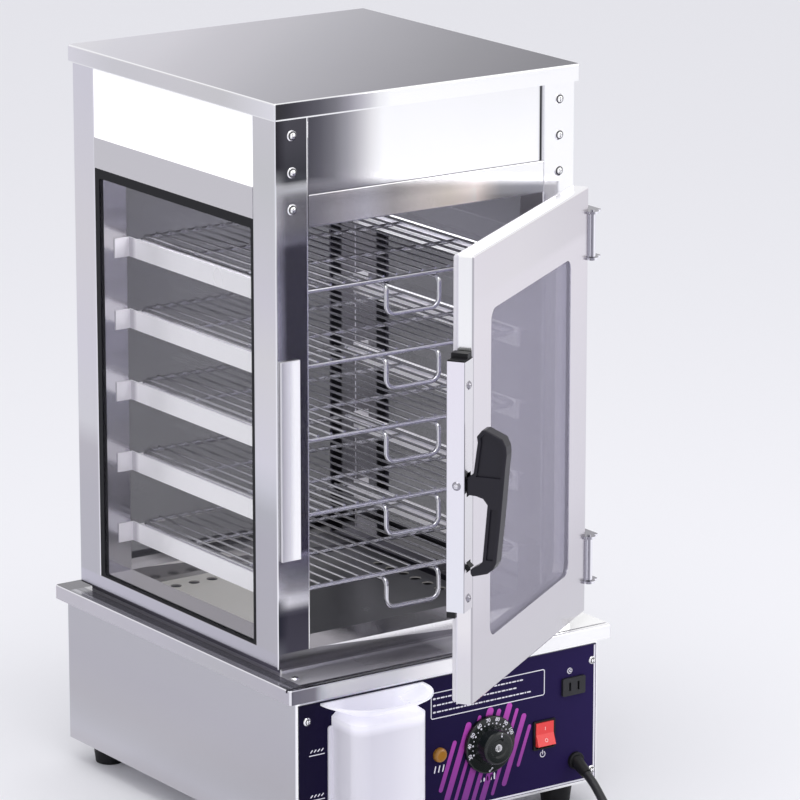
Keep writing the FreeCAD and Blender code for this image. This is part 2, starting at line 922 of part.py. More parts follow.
def make_switch_rocker():
    """A red rocker with a shallow valley across it, tipped with its top pressed in."""
    x0 = switch_x - rocker_w / 2
    x1 = switch_x + rocker_w / 2
    z = switch_z
    tall = rocker_h / 2
    pin_y = panel_y + rocker_pivot_in
    out = panel_y - rocker_out
    deep = pin_y + rocker_pin_d
    points = [
        Vector(x0, out, z - tall),
        Vector(x0, out + rocker_valley, z),
        Vector(x0, out, z + tall),
        Vector(x0, pin_y - rocker_pivot_in, z + tall),
        Vector(x0, deep, z + tall / 2),
        Vector(x0, deep, z - tall / 2),
        Vector(x0, pin_y - rocker_pivot_in, z - tall),
    ]
    face = Part.Face(Part.makePolygon(points + [points[0]]))
    rocker = face.extrude(Vector(x1 - x0, 0, 0))
    rocker = rocker.cut(rod(Vector(x0 - 1, pin_y, z), Vector(x1 + 1, pin_y, z), rocker_pin_d + 2 * shaft_fit))
    rocker.rotate(Vector(switch_x, pin_y, z), to_right, -rocker_half_travel)
    return rocker


def make_indicator_lamp():
    c = Vector(lamp_x, panel_y, indicator_z)
    lens = Part.makeCylinder(indicator_d / 2, indicator_out, c, to_front)
    lens = soft_face(lens, bend * 2, to_front)
    body = rod(c, c + to_back * indicator_deep, indicator_body_d)
    return fuse([lens, body])


def make_light_socket():
    x = socket_x
    z = socket_z
    w = socket_w / 2
    h = socket_h / 2
    face = rounded(x - w, x + w, panel_y - socket_out, panel_y, z - h, z + h, bend, to_back)
    inner_w = w - bezel_t
    inner_h = h - bezel_t / 2
    body = box(x - inner_w, x + inner_w, panel_y, panel_y + socket_deep, z - inner_h, z + inner_h)
    whole = fuse([face, body])
    for side in (-1, 1):
        sx = x + side * socket_slot_pitch / 2
        slot = box(
            sx - socket_slot_w / 2, sx + socket_slot_w / 2, panel_y - socket_out, panel_y + socket_deep / 2,
            z - socket_slot_h / 2, z + socket_slot_h / 2,
        )
        whole = whole.cut(slot)
    return whole


def gland_nose_line():
    """The middle line of the gland's tapered boot, which leans down with the cord."""
    lean = math.radians(gland_lean)
    way = Vector(0, -math.cos(lean), -math.sin(lean))
    start = Vector(gland_x, panel_y - gland_nut_t + gland_nose_sunk, gland_z)
    return start, start + way * gland_nose_l


def make_cord_gland():
    c = Vector(gland_x, panel_y, gland_z)
    nut = Part.makeCylinder(gland_nut_d / 2, gland_nut_t, c, to_front)
    nut = soft_face(nut, 1.0, to_front)
    start, tip = gland_nose_line()
    nose = cone(start, tip, gland_nose_d, gland_tip_d)
    thread = rod(c, c + to_back * gland_deep, gland_thread_d)
    return fuse([nut, nose, thread])


# Water cup

def cup_section(middle, width, deep, corner, z):
    """A closed outline against the panel: flat back, rounded front corners."""
    x0 = middle - width / 2
    x1 = middle + width / 2
    y0 = panel_y - deep
    k = corner * (1 - math.cos(math.pi / 4))
    edges = [
        Part.makeLine(Vector(x0, panel_y, z), Vector(x0, y0 + corner, z)),
        Part.Arc(Vector(x0, y0 + corner, z), Vector(x0 + k, y0 + k, z), Vector(x0 + corner, y0, z)).toShape(),
        Part.makeLine(Vector(x0 + corner, y0, z), Vector(x1 - corner, y0, z)),
        Part.Arc(Vector(x1 - corner, y0, z), Vector(x1 - k, y0 + k, z), Vector(x1, y0 + corner, z)).toShape(),
        Part.makeLine(Vector(x1, y0 + corner, z), Vector(x1, panel_y, z)),
        Part.makeLine(Vector(x1, panel_y, z), Vector(x0, panel_y, z)),
    ]
    return Part.Wire(edges)


def cup_column(inset):
    """The cup's outer form, or its hollow when inset by the wall."""
    def part(middle, width, deep, corner, z):
        wire = cup_section(middle, width - 2 * inset, deep - 2 * inset, max(corner - inset, 1.0), z)
        if inset:
            wire.translate(Vector(0, -inset, 0))
        return wire

    levels = [
        (cup_rim_x, cup_rim_w, cup_rim_deep, cup_rim_corner, cup_rim_z),
        (cup_rim_x, cup_rim_w, cup_rim_deep, cup_rim_corner, cup_rim_z - cup_rim_t),
        (cup_x, cup_neck_w, cup_neck_deep, cup_neck_corner, cup_neck_z),
        (cup_x, cup_body_w, cup_body_deep, cup_body_corner, cup_shoulder_z),
        (cup_x, cup_body_w, cup_body_deep, cup_body_corner, cup_bottom_z + inset),
    ]
    wires = [part(*level) for level in levels]
    return Part.makeLoft(wires, True, True)


def make_water_cup():
    cup = cup_column(0).cut(cup_column(cup_wall))
    tank_wall = -in_y - tank_side_gap
    start = Vector(cup_x, panel_y - cup_wall, cup_spout_z)
    end = Vector(cup_x, tank_wall, cup_spout_z)
    flange_x = cup_body_w / 2 + cup_flange_w
    flange = rounded(
        cup_x - flange_x, cup_x + flange_x, panel_y - cup_flange_t, panel_y,
        cup_bottom_z, cup_flange_top_z, cup_flange_corner, to_back,
    )
    cup = fuse([cup, flange, rod(start, end, cup_spout_d)])
    return cup.cut(rod(start + to_front, end + to_back, cup_spout_bore))


# Hinges and strike, fixed to the cabinet

def make_hinge_brackets():
    brackets = []
    for z0 in (hinge_low_z, hinge_high_z):
        z1 = z0 + hinge_h
        web_x = half_x
        web = box(web_x, web_x + hinge_sheet, front_y, front_y + hinge_web_l, z0, z1)
        shapes = [web]
        for ez in (z0, z1 - hinge_sheet):
            right = hinge_x + hinge_ear_reach
            ear = box(web_x, right, hinge_y, front_y + hinge_web_l, ez, ez + hinge_sheet)
            outer = [
                e for e in edges_along(ear, up)
                if e.CenterOfMass.x > hinge_x
            ]
            ear = ear.makeFillet(hinge_ear_r / 2, outer)
            eye = Part.makeCylinder(hinge_ear_r, hinge_sheet, Vector(hinge_x, hinge_y, ez), up)
            shapes.extend([ear, eye])
        bottom = Vector(hinge_x, hinge_y, z0 - hinge_sheet / 2)
        top = Vector(hinge_x, hinge_y, z1 + hinge_sheet / 2)
        shapes.append(rod(bottom, top, hinge_pin_d))
        brackets.append(fuse(shapes))
    return group(brackets)


def make_strike_plate():
    """A folded bar whose two studs pass through the post's wall to nuts inside it."""
    x1 = strike_x + strike_w
    y0 = front_y - strike_t
    z1 = strike_z + strike_l
    bar = rounded(strike_x, x1, y0, front_y, strike_z, z1, sheet, up)
    bar = soft_face(bar, sheet / 2, to_front)
    hollow = box(strike_x + 2 * sheet, x1 - 2 * sheet, y0 + sheet, front_y, strike_z + 2 * sheet, z1 - 2 * sheet)
    parts = [bar.cut(hollow)]
    for spot in strike_stud_spots():
        nut_y = spot.y + post_wall
        end_y = nut_y + stud_nut_t + stud_end
        stud = rod(Vector(spot.x, y0 + sheet / 2, spot.z), Vector(spot.x, end_y, spot.z), screw_shank_d)
        parts[0] = fuse([parts[0], stud])
        nut = rod(Vector(spot.x, nut_y, spot.z), Vector(spot.x, nut_y + stud_nut_t, spot.z), stud_nut_d)
        parts.append(nut.cut(stud))
    return group(parts)


def make_screws():
    screws = []
    for spot in post_screw_spots():
        screws.append(screw(spot, to_front, post_screw_head_d))
    for spot in panel_screw_spots():
        screws.append(screw(spot, to_front))
    for spot in ledge_screw_spots():
        screws.append(screw(spot, up))
    return group(screws)


# Door, drawn shut and turned open afterwards

def door_opening(y0, y1, grow, corner):
    return rounded(
        door_x0 + door_stile_free - grow,
        door_x1 - door_stile_hinge + grow,
        y0,
        y1,
        door_bottom_z + door_rail_bottom - grow,
        door_bottom_z + door_h - door_rail_top + grow,
        corner,
        to_back,
    )


def make_hinge_leaves():
    leaves = []
    for z0 in (hinge_low_z, hinge_high_z):
        low = z0 + hinge_sheet + hinge_end_gap
        high = z0 + hinge_h - hinge_sheet - hinge_end_gap
        barrel = rod(Vector(hinge_x, hinge_y, low), Vector(hinge_x, hinge_y, high), hinge_barrel_d)
        arm_y = door_face_y - hinge_leaf_t / 2
        arm = box(door_x1, hinge_x, arm_y, arm_y + hinge_leaf_t, low, high)
        leaf = box(door_x1, door_x1 + hinge_leaf_t, arm_y, door_face_y + door_pan, low, high)
        whole = fuse([barrel, arm, leaf])
        bore = rod(Vector(hinge_x, hinge_y, low), Vector(hinge_x, hinge_y, high), hinge_pin_d + 2 * shaft_fit)
        leaves.append(whole.cut(bore))
    return group(leaves)


def make_door_frame():
    """The door's front pan, folded from one sheet, with the window cut through it."""
    y0 = door_face_y
    y1 = y0 + door_pan
    z1 = door_bottom_z + door_h
    pan = rounded(door_x0, door_x1, y0, y1, door_bottom_z, z1, door_bend, to_back)
    pan = soft_face(pan, door_bend, to_front)
    pan = pan.cut(
        box(door_x0 + sheet, door_x1 - sheet, y0 + sheet, y1, door_bottom_z + sheet, z1 - sheet)
    )
    return pan.cut(door_opening(y0 - 1, y0 + sheet + 1, 0, door_window_r))


def make_door_inner_frame():
    """The inner pan that closes the door's back and frames the gap between its two panes."""
    y1 = door_face_y + door_pan
    z1 = door_bottom_z + door_h
    plate = box(door_x0, door_x1, y1, y1 + sheet, door_bottom_z, z1)
    ring_y = door_face_y + sheet + door_glass_t
    lap = door_reveal_lap
    ring = door_opening(ring_y, y1, lap + door_reveal_wall, door_window_r + lap)
    whole = fuse([plate, ring])
    return whole.cut(door_opening(ring_y, y1 + sheet, lap, door_window_r + lap))


def make_door_glazing():
    front = door_face_y + sheet
    outer = door_opening(front, front + door_glass_t, door_glass_lap, door_window_r)
    back = door_face_y + door_pan + sheet
    inner = door_opening(back, back + door_glass_t, door_glass_lap, door_window_r)
    return group([outer, inner])


def make_door_gasket():
    y0 = door_face_y + door_pan + sheet
    y1 = y0 + door_seal_t
    z1 = door_bottom_z + door_h
    edge = door_seal_inset
    w = door_seal_w
    outer = rounded(door_x0 + edge, door_x1 - edge, y0, y1, door_bottom_z + edge, z1 - edge, door_bend, to_back)
    outer = soft_face(outer, door_bend, to_back)
    inner = box(door_x0 + w, door_x1 - w, y0, y1, door_bottom_z + w, z1 - w)
    return outer.cut(inner)


# Latch bar and handle

def make_latch_bar():
    x0 = door_x0 - latch_w
    x1 = door_x0
    y0 = door_face_y
    y1 = y0 + latch_deep
    z1 = latch_z + latch_l
    bar = rounded(x0, x1, y0, y1, latch_z, z1, sheet, up)
    wall = latch_wall
    bar = bar.cut(box(x0 + wall, x1 - wall, y0 + wall, y1, latch_z, z1))
    middle = (x0 + x1) / 2
    half_slot = handle_tang_w / 2 + latch_slot_spare / 2
    slot_h = handle_tang_r + latch_slot_spare
    slot = box(
        middle - half_slot, middle + half_slot, y0 - 1, y0 + wall + 1,
        handle_pivot_z - slot_h * 4 / 3, handle_pivot_z + slot_h * 4 / 3,
    )
    bar = bar.cut(slot)
    nub_window = box(
        middle - half_slot, middle + half_slot, y0 - 1, y0 + wall + 1,
        handle_pivot_z - latch_nub_low, handle_pivot_z - latch_nub_high,
    )
    bar = bar.cut(nub_window)
    pin_y = y0 + handle_pivot_in
    for x in (x0, x1 - wall):
        hole = rod(Vector(x - 1, pin_y, handle_pivot_z), Vector(x + wall + 1, pin_y, handle_pivot_z), handle_pin_d + 2 * fit)
        bar = bar.cut(hole)
    for spot in latch_screw_spots():
        bar = bar.cut(screw_hole(spot, to_front))
    head = screw(Vector(x0, pin_y, handle_pivot_z), to_left)
    pin = rod(Vector(x0, pin_y, handle_pivot_z), Vector(x1, pin_y, handle_pivot_z), handle_pin_d)
    parts = [bar, fuse([head, pin])]
    for spot in latch_screw_spots():
        parts.append(screw(spot, to_front))
    return group(parts)


def make_latch_insert():
    """The black block inside the latch bar, standing out at both of its ends."""
    wall = latch_wall + fit
    x0 = door_x0 - latch_w + wall
    x1 = door_x0 - wall
    y0 = door_face_y + wall
    y1 = door_face_y + latch_deep - latch_block_back
    z1 = latch_z + latch_l
    body = box(x0, x1, y0, y1, latch_z, z1 + latch_block_rise)
    middle = (x0 + x1) / 2
    top = box(middle, x1, y0, y1, z1, z1 + latch_block_top)
    low = box(x0, x0 + latch_block_foot_w, (y0 + y1) / 2, y1, latch_z - latch_block_low, latch_z)
    half_nub = handle_tang_w / 2
    nub_side = [
        Vector(middle - half_nub, y0 + sheet, handle_pivot_z - latch_nub_low),
        Vector(middle - half_nub, door_face_y - latch_nub_out, handle_pivot_z - (latch_nub_low + latch_nub_high) / 2),
        Vector(middle - half_nub, y0 + sheet, handle_pivot_z - latch_nub_high),
    ]
    nub = Part.Face(Part.makePolygon(nub_side + [nub_side[0]])).extrude(Vector(handle_tang_w, 0, 0))
    body = fuse([body, top, low, nub])
    half_w = latch_pocket_w / 2
    pocket = box(
        middle - half_w, middle + half_w, y0, y1 - sheet,
        handle_pivot_z - latch_pocket_h / 2, handle_pivot_z + latch_pocket_h / 2,
    )
    body = body.cut(pocket)
    pin_y = door_face_y + handle_pivot_in
    body = body.cut(rod(Vector(x0 - 1, pin_y, handle_pivot_z), Vector(x1 + 1, pin_y, handle_pivot_z), handle_pin_d + 2 * fit))
    for spot in latch_screw_spots():
        body = body.cut(screw_hole(spot, to_front))
    return body


def handle_outline():
    """The handle's side view: distance out from the latch bar, then height above the pivot."""
    return [
        (4.4, -80.8), (4.6, -84.6), (6.2, -87.6), (21.4, -83.4), (27.2, -78.6),
        (30.2, -72.4), (34.0, -35.1), (37.7, 8.3), (38.6, 20.0), (40.0, 33.0),
        (39.4, 41.0), (35.8, 48.4), (19.2, 55.6), (15.4, 55.0), (10.4, 48.6),
        (11.2, 43.0), (7.2, 12.6), (1.2, 8.2), (1.2, -8.6), (9.6, -9.0),
        (16.8, -11.0), (21.2, -16.6), (16.4, -71.8), (13.2, -75.4),
    ]


def make_handle():
    x = door_x0 - latch_w / 2
    half = handle_w / 2
    points = []
    for out, rise in handle_outline():
        points.append(Vector(x - half, door_face_y - out, handle_pivot_z + rise))
    face = Part.Face(Part.makePolygon(points + [points[0]]))
    grip = face.extrude(Vector(handle_w, 0, 0))
    grip = grip.makeFillet(handle_corner, edges_along(grip, to_right))
    sides = [f for f in grip.Faces if abs(f.normalAt(0, 0).dot(to_right)) > 0.999]
    grip = grip.makeFillet(handle_edge, [e for f in sides for e in f.Edges])
    for side in (-1, 1):
        for low, high in ((-70.0, -20.0), (10.0, 52.0)):
            inner = face.makeOffset2D(-handle_band)
            slab = box(x - half, x + half, door_face_y - 60, door_face_y, handle_pivot_z + low, handle_pivot_z + high)
            hollow = inner.extrude(Vector(handle_w, 0, 0)).common(slab)
            hollow.translate(Vector(side * (handle_w - handle_hollow), 0, 0))
            grip = grip.cut(hollow)
    pin_y = door_face_y + handle_pivot_in
    half_tang = handle_tang_w / 2
    stem_h = handle_tang_r
    stem = box(x - half_tang, x + half_tang, door_face_y - 8 * sheet, pin_y, handle_pivot_z - stem_h, handle_pivot_z + stem_h)
    eye = rod(Vector(x - half_tang, pin_y, handle_pivot_z), Vector(x + half_tang, pin_y, handle_pivot_z), 2 * handle_tang_r)
    whole = fuse([grip, stem, eye])
    bore = rod(Vector(x - half, pin_y, handle_pivot_z), Vector(x + half, pin_y, handle_pivot_z), handle_pin_d + 2 * shaft_fit)
    return whole.cut(bore)


# Power cord

def cord_route():
    """The free cord's centre line, chosen by hand, from the gland to the coil on the floor."""
    start, tip = gland_nose_line()
    on_floor = cord_d / 2
    return [
        tip,
        tip + (tip - start) * 0.45,
        Vector(154.3, -258.6, 32.4),
        Vector(154.4, -265.3, 26.2),
        Vector(154.6, -272.2, 19.6),
        Vector(154.9, -279.8, 14.2),
        Vector(155.2, -288.1, 10.1),
        Vector(155.5, -297.2, 7.1),
        Vector(155.8, -307.4, 5.3),
        Vector(156.0, -319.4, on_floor + 0.05),
        Vector(155.9, -333.4, on_floor + 0.01),
        Vector(155.4, -348.4, on_floor),
        Vector(154.7, -363.4, on_floor),
        Vector(gland_x, -377.4, on_floor),
        Vector(gland_x, coil_start_y, on_floor),
    ]


def rounded_route(points):
    """Straight runs joined by tangent arcs, each as large as its two runs allow."""
    edges = []
    radii = []
    last = points[0]
    for before, here, after in zip(points, points[1:], points[2:]):
        into = (here - before).normalize()
        away = (after - here).normalize()
        turn = into.getAngle(away)
        cut_back = 0.45 * min((here - before).Length, (after - here).Length)
        radius = cut_back / math.tan(turn / 2)
        radii.append(radius)
        a = here - into * cut_back
        b = here + away * cut_back
        inward = (away - into).normalize()
        middle = here + inward * (radius / math.cos(turn / 2) - radius)
        edges.append(Part.makeLine(last, a))
        edges.append(Part.Arc(a, middle, b).toShape())
        last = b
    edges.append(Part.makeLine(last, points[-1]))
    return Part.Wire(edges), radii


def tube_along(path, start, direction, diameter):
    section = Part.Wire(Part.Circle(start, direction, diameter / 2).toShape())
    return path.makePipeShell([section], True, False)


def make_power_cord():
    points = cord_route()
    path, radii = rounded_route(points)
    print("cord radii", [round(r, 1) for r in radii], "least", round(min(radii) / cord_d, 1), "diameters")
    tube = tube_along(path, points[0], points[1] - points[0], cord_d)
    expected = math.pi * cord_d**2 / 4 * path.Length
    print("cord length", round(path.Length), "volume ratio", round(tube.Volume / expected, 4))
    return tube


def coil_point(turns):
    """Where the coil's centre line is after so many turns, and the way it runs there."""
    pitch = cord_d + cord_gap
    low_end = coil_turns_low
    climb_end = low_end + 0.5
    inner = coil_start_r - pitch * low_end

    def radius_at(t):
        if t <= low_end:
            return coil_start_r - pitch * t
        if t >= climb_end:
            return inner + pitch * (t - climb_end)
        s = t - low_end
        return inner - pitch * s + 2 * pitch * s * s

    def height_at(t):
        s = min(max((t - low_end) / 0.5, 0.0), 1.0)
        return cord_d / 2 + pitch * (3 * s * s - 2 * s * s * s)

    def at(t):
        angle = -2 * math.pi * t
        r = radius_at(t)
        cx = gland_x - coil_start_r
        return Vector(cx + r * math.cos(angle), coil_start_y + r * math.sin(angle), height_at(t))

    small = 1e-4
    return at(turns), (at(turns + small) - at(turns - small)).normalize()


def two_arcs(p0, t0, p1, t1):
    """Two arcs that leave p0 along t0, meet smoothly and reach p1 along t1."""
    v = p1 - p0
    t = t0 + t1
    b = v.dot(t)
    k = 2 * (1 - t0.dot(t1))
    d = (-b + math.sqrt(b * b + k * v.dot(v))) / k
    joint = (p0 + t0 * d + p1 - t1 * d) * 0.5

    def arc(start, tangent, end):
        chord = end - start
        half_angle = tangent.getAngle(chord)
        lean = (tangent + Vector(chord).normalize()).normalize()
        middle = start + lean * (chord.Length / 2 / math.cos(half_angle / 2))
        return Part.Arc(start, middle, end).toShape()

    first = arc(p0, t0, joint)
    second = arc(p1, t1 * -1, joint)
    back = Part.Arc(joint, second.valueAt((second.FirstParameter + second.LastParameter) / 2), p1)
    return [first, back.toShape()]


def make_power_cord_coil():
    """Two layers of loops wound in one unbroken tube, the lower going in and the upper coming out."""
    total = coil_turns_low + 0.5 + coil_turns_high
    steps = int(round(total * 4))
    edges = []
    first, heading = coil_point(0.0)
    heading = Vector(0, -1, 0)
    places = [(first, heading)]
    for i in range(1, steps + 1):
        places.append(coil_point(i / 4))
    last, way = places[-1]
    way = Vector(0, -1, 0)
    places[-1] = (last, way)
    for (p0, t0), (p1, t1) in zip(places, places[1:]):
        edges.extend(two_arcs(p0, t0, p1, t1))
    tail_end = last + way * coil_tail
    edges.append(Part.makeLine(last, tail_end))
    path = Part.Wire(edges)
    tube = tube_along(path, first, heading, cord_d)
    expected = math.pi * cord_d**2 / 4 * path.Length
    print("coil length", round(path.Length), "volume ratio", round(tube.Volume / expected, 4))
    print("coil least gap to itself", round(least_gap(path), 2))
    return tube, tail_end


def least_gap(path):
    """The smallest distance between parts of the coil that are not neighbours along it."""
    points = path.discretize(Distance=3.0)
    apart = 12
    best = 1e9
    for i, p in enumerate(points):
        for q in points[i + apart:]:
            best = min(best, p.distanceToPoint(q))
    return best - cord_d


def make_power_plug(start):
    """A rewirable plug lying on the floor, its pins pointing away from the cabinet."""
    z = start.z
    relief_end = start + to_front * plug_relief_l
    relief = cone(start, relief_end, cord_d + 2 * sheet, plug_relief_d)
    y1 = relief_end.y
    y0 = y1 - plug_l
    w = plug_w / 2
    body = rounded(start.x - w, start.x + w, y0, y1, 0, 2 * z, 2 * bend, to_back)
    body = body.makeFillet(bend, edges_along(body, to_right))
    parts = [relief, body]
    blade = box(-pin_t / 2, pin_t / 2, -pin_l - sheet, sheet, -pin_w / 2, pin_w / 2)
    for side in (-1, 1):
        pin = blade.copy()
        pin.rotate(Vector(0, 0, 0), to_back, side * pin_slant)
        pin.translate(Vector(start.x + side * pin_spread, y0, z + earth_pin_down / 2))
        parts.append(pin)
    earth = blade.copy()
    earth.translate(Vector(start.x, y0, z - earth_pin_down))
    parts.append(earth)
    return fuse(parts)


def turned_open(shape):
    turned = shape.copy()
    turned.rotate(hinge_at, up, door_open)
    return turned


def save(name, shape):
    if not shape.isValid():
        print("not valid:", name)
    placed = shape.copy()
    placed.translate(Vector(0, origin_ahead, 0))
    placed.exportStep("parts/" + name + ".step")


def main():
    os.makedirs("parts", exist_ok=True)

    save("top_cap", make_top_cap())
    for name, side_x, side_y in (
        ("post_front_left", -1, -1),
        ("post_front_right", 1, -1),
        ("post_back_left", -1, 1),
        ("post_back_right", 1, 1),
    ):
        save(name, make_post(side_x, side_y))
    save("header_panel", make_header_panel())
    save("header_rail", make_header_rail())
    save("back_header", make_back_header())
    save("side_header_left", make_side_header_left())
    save("side_header_right", mirrored(make_side_header_left()))
    save("light_panel_left", make_light_panel_left())
    save("light_panel_right", mirrored(make_light_panel_left()))
    save("chamber_ceiling", make_chamber_ceiling())
    save("light_tube", make_light_tube())
    save("bottom_frame", make_bottom_frame())

    left_rubber, left_pane = side_window_left()
    back_rubber, back_pane = back_window()
    save("glass_left", left_pane)
    save("glass_right", mirrored(left_pane))
    save("glass_back", back_pane)
    save("window_rubbers", group([left_rubber, mirrored(left_rubber), back_rubber]))

    rails = []
    for level in range(rack_levels):
        rail = make_rail_left(level)
        rails.extend([rail, mirrored(rail)])
        number = str(level + 1)
        save("rack_" + number, make_rack(level))
        save("rack_pull_" + number, make_rack_pull(level))
    save("rack_rails", group(rails))

    save("base_top", make_base_top())
    save("base_shell", make_base_shell())
    save("base_bottom", make_base_bottom())
    save("feet", make_feet())
    save("water_tank", make_water_tank())
    save("heating_element", make_heating_element())
    save("baffle_plate", make_baffle())
    save("control_panel", make_control_panel())
    save("thermostat_body", make_thermostat_body())
    save("thermostat_knob", make_thermostat_knob())
    save("switch_housing", make_switch_housing())
    save("switch_rocker", make_switch_rocker())
    save("indicator_lamp", make_indicator_lamp())
    save("light_socket", make_light_socket())
    save("cord_gland", make_cord_gland())
    save("water_cup", make_water_cup())
    save("hinge_brackets", make_hinge_brackets())
    save("strike_plate", make_strike_plate())
    save("screws", make_screws())

    for name, shape in (
        ("hinge_leaves", make_hinge_leaves()),
        ("door_frame", make_door_frame()),
        ("door_inner_frame", make_door_inner_frame()),
        ("door_glazing", make_door_glazing()),
        ("door_gasket", make_door_gasket()),
        ("latch_bar", make_latch_bar()),
        ("latch_insert", make_latch_insert()),
        ("handle", make_handle()),
    ):
        save(name, turned_open(shape))

    save("power_cord", make_power_cord())
    coil, tail = make_power_cord_coil()
    save("power_cord_coil", coil)
    save("power_plug", make_power_plug(tail))


main()
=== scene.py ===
import math

import bpy
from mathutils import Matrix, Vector


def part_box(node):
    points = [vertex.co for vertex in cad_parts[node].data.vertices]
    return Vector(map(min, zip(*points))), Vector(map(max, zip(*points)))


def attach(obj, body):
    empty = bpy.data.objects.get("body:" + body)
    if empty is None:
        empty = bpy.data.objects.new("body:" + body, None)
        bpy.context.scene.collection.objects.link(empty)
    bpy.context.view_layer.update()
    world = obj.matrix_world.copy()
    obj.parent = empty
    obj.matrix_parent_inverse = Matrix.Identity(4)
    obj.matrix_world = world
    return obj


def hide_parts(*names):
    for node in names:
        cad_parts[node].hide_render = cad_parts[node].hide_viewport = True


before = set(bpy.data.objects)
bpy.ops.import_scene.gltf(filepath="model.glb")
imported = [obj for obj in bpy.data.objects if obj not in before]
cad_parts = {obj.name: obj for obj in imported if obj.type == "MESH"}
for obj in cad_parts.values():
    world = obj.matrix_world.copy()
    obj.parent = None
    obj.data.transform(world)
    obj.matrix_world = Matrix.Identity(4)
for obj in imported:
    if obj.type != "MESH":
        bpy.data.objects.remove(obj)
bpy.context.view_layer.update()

# Studio: a plain pale floor that runs back out of sight, under soft overhead and side lamps.
# Rays to the camera, and from mirrors and glass, see white, so the polished sheet and the panes show it.


def linear(hex_colour):
    """An sRGB hex colour as the linear RGBA that a shader takes."""
    parts = [int(hex_colour[i:i + 2], 16) / 255 for i in (1, 3, 5)]
    return tuple([p / 12.92 if p <= 0.04045 else ((p + 0.055) / 1.055) ** 2.4 for p in parts] + [1.0])


def node(tree, kind, settings=None, sockets=None):
    """Adds a shader node, sets its own settings, and gives each socket a value or a link."""
    made = tree.nodes.new("ShaderNode" + kind)
    for name, value in (settings or {}).items():
        setattr(made, name, value)
    for name, value in (sockets or {}).items():
        if isinstance(value, bpy.types.NodeSocket):
            tree.links.new(value, made.inputs[name])
        else:
            made.inputs[name].default_value = value
    return made


def material(name):
    """A new material with its node tree and its shader at hand."""
    made = bpy.data.materials.new(name)
    made.use_nodes = True
    return made, made.node_tree, shader_of(made)


def shader_of(made):
    """The shader of a material."""
    return made.node_tree.nodes["Principled BSDF"]


def wear(finish, *node_names):
    """Gives pieces of the frame their finish."""
    for name in node_names:
        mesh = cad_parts[name].data
        mesh.materials.clear()
        mesh.materials.append(finish)


floor_mesh = bpy.data.meshes.new("studio_floor")
floor_mesh.from_pydata([(-30, -30, 0), (30, -30, 0), (30, 30, 0), (-30, 30, 0)], [], [(0, 1, 2, 3)])
studio_floor = bpy.data.objects.new("studio_floor", floor_mesh)
bpy.context.collection.objects.link(studio_floor)
floor_paint, tree, shader = material("matt_floor_paint")
shader.inputs["Roughness"].default_value = 0.9
shader.inputs["Base Color"].default_value = linear("#efeff2")
floor_mesh.materials.append(floor_paint)

studio = bpy.data.worlds.new("studio")
bpy.context.scene.world = studio
studio.use_nodes = True
tree = studio.node_tree
room = tree.nodes["Background"]
room.inputs["Color"].default_value = linear("#f4f4f8")
room.inputs["Strength"].default_value = 0.95
seen = node(tree, "Background", None, {"Color": linear("#ffffff"), "Strength": 1.0})
path = node(tree, "LightPath")
straight = node(tree, "Math", {"operation": "MAXIMUM"}, {
    0: path.outputs["Is Camera Ray"], 1: path.outputs["Is Glossy Ray"],
})
either = node(tree, "Math", {"operation": "MAXIMUM"}, {
    0: straight.outputs[0], 1: path.outputs["Is Transmission Ray"],
})
blend = node(tree, "MixShader", None, {0: either.outputs[0], 1: room.outputs[0], 2: seen.outputs[0]})
tree.links.new(blend.outputs[0], tree.nodes["World Output"].inputs["Surface"])


def soft_lamp(name, place, aim, width, watts):
    """A square area lamp at a place, aimed at a point."""
    lamp = bpy.data.lights.new(name, "AREA")
    lamp.size = width
    lamp.energy = watts
    piece = bpy.data.objects.new(name, lamp)
    piece.location = place
    piece.rotation_euler = (Vector(aim) - Vector(place)).to_track_quat("-Z", "Y").to_euler()
    bpy.context.collection.objects.link(piece)
    return piece


soft_lamp("overhead_soft_box", (-0.6, -0.7, 3.0), (0, 0, 0.4), 1.8, 24)
soft_lamp("front_right_fill", (2.2, -2.4, 1.4), (0, 0, 0.4), 1.6, 14)

camera = bpy.data.objects.new("camera", bpy.data.cameras.new("camera"))
camera.data.lens = 223.1
camera.data.sensor_width = 36
camera.data.clip_end = 100
camera.location = (-2.706, -3.903, 1.667)
view_at = Vector((0.0954, 0.112, 0.3872))
camera.rotation_euler = (view_at - camera.location).to_track_quat("-Z", "Y").to_euler()
bpy.context.collection.objects.link(camera)
bpy.context.scene.camera = camera
bpy.context.scene.view_settings.view_transform = "Standard"

# Base box: one folded sheet of stainless on four rubber feet, with a slotted bottom plate.
# Its sides carry painted reflections that turn a little lighter towards the floor. Its front carries a
# painted reflection: white at the left end, darker just after, then lighter to white on the right.


def share_of(tree, value, low, high):
    """How far a value is on its way from low to high, from 0 to 1."""
    spread = {"Value": value, "From Min": low, "From Max": high}
    return node(tree, "MapRange", None, spread).outputs["Result"]


def dot(tree, value, direction):
    """A vector's part along a direction."""
    return node(tree, "VectorMath", {"operation": "DOT_PRODUCT"}, {0: value, 1: direction}).outputs["Value"]


def tone_ramp(tree, factor, stops):
    """The tone for a factor, from stops of a place and a hex colour."""
    ramp = node(tree, "ValToRGB", None, {"Fac": factor})
    points = ramp.color_ramp.elements
    points[0].position, points[0].color = stops[0][0], linear(stops[0][1])
    points[1].position, points[1].color = stops[-1][0], linear(stops[-1][1])
    for where, tone in stops[1:-1]:
        points.new(where).color = linear(tone)
    return ramp.outputs["Color"]


def even(tone):
    """The stops of a run that has one tone."""
    return [(0.0, tone), (1.0, tone)]


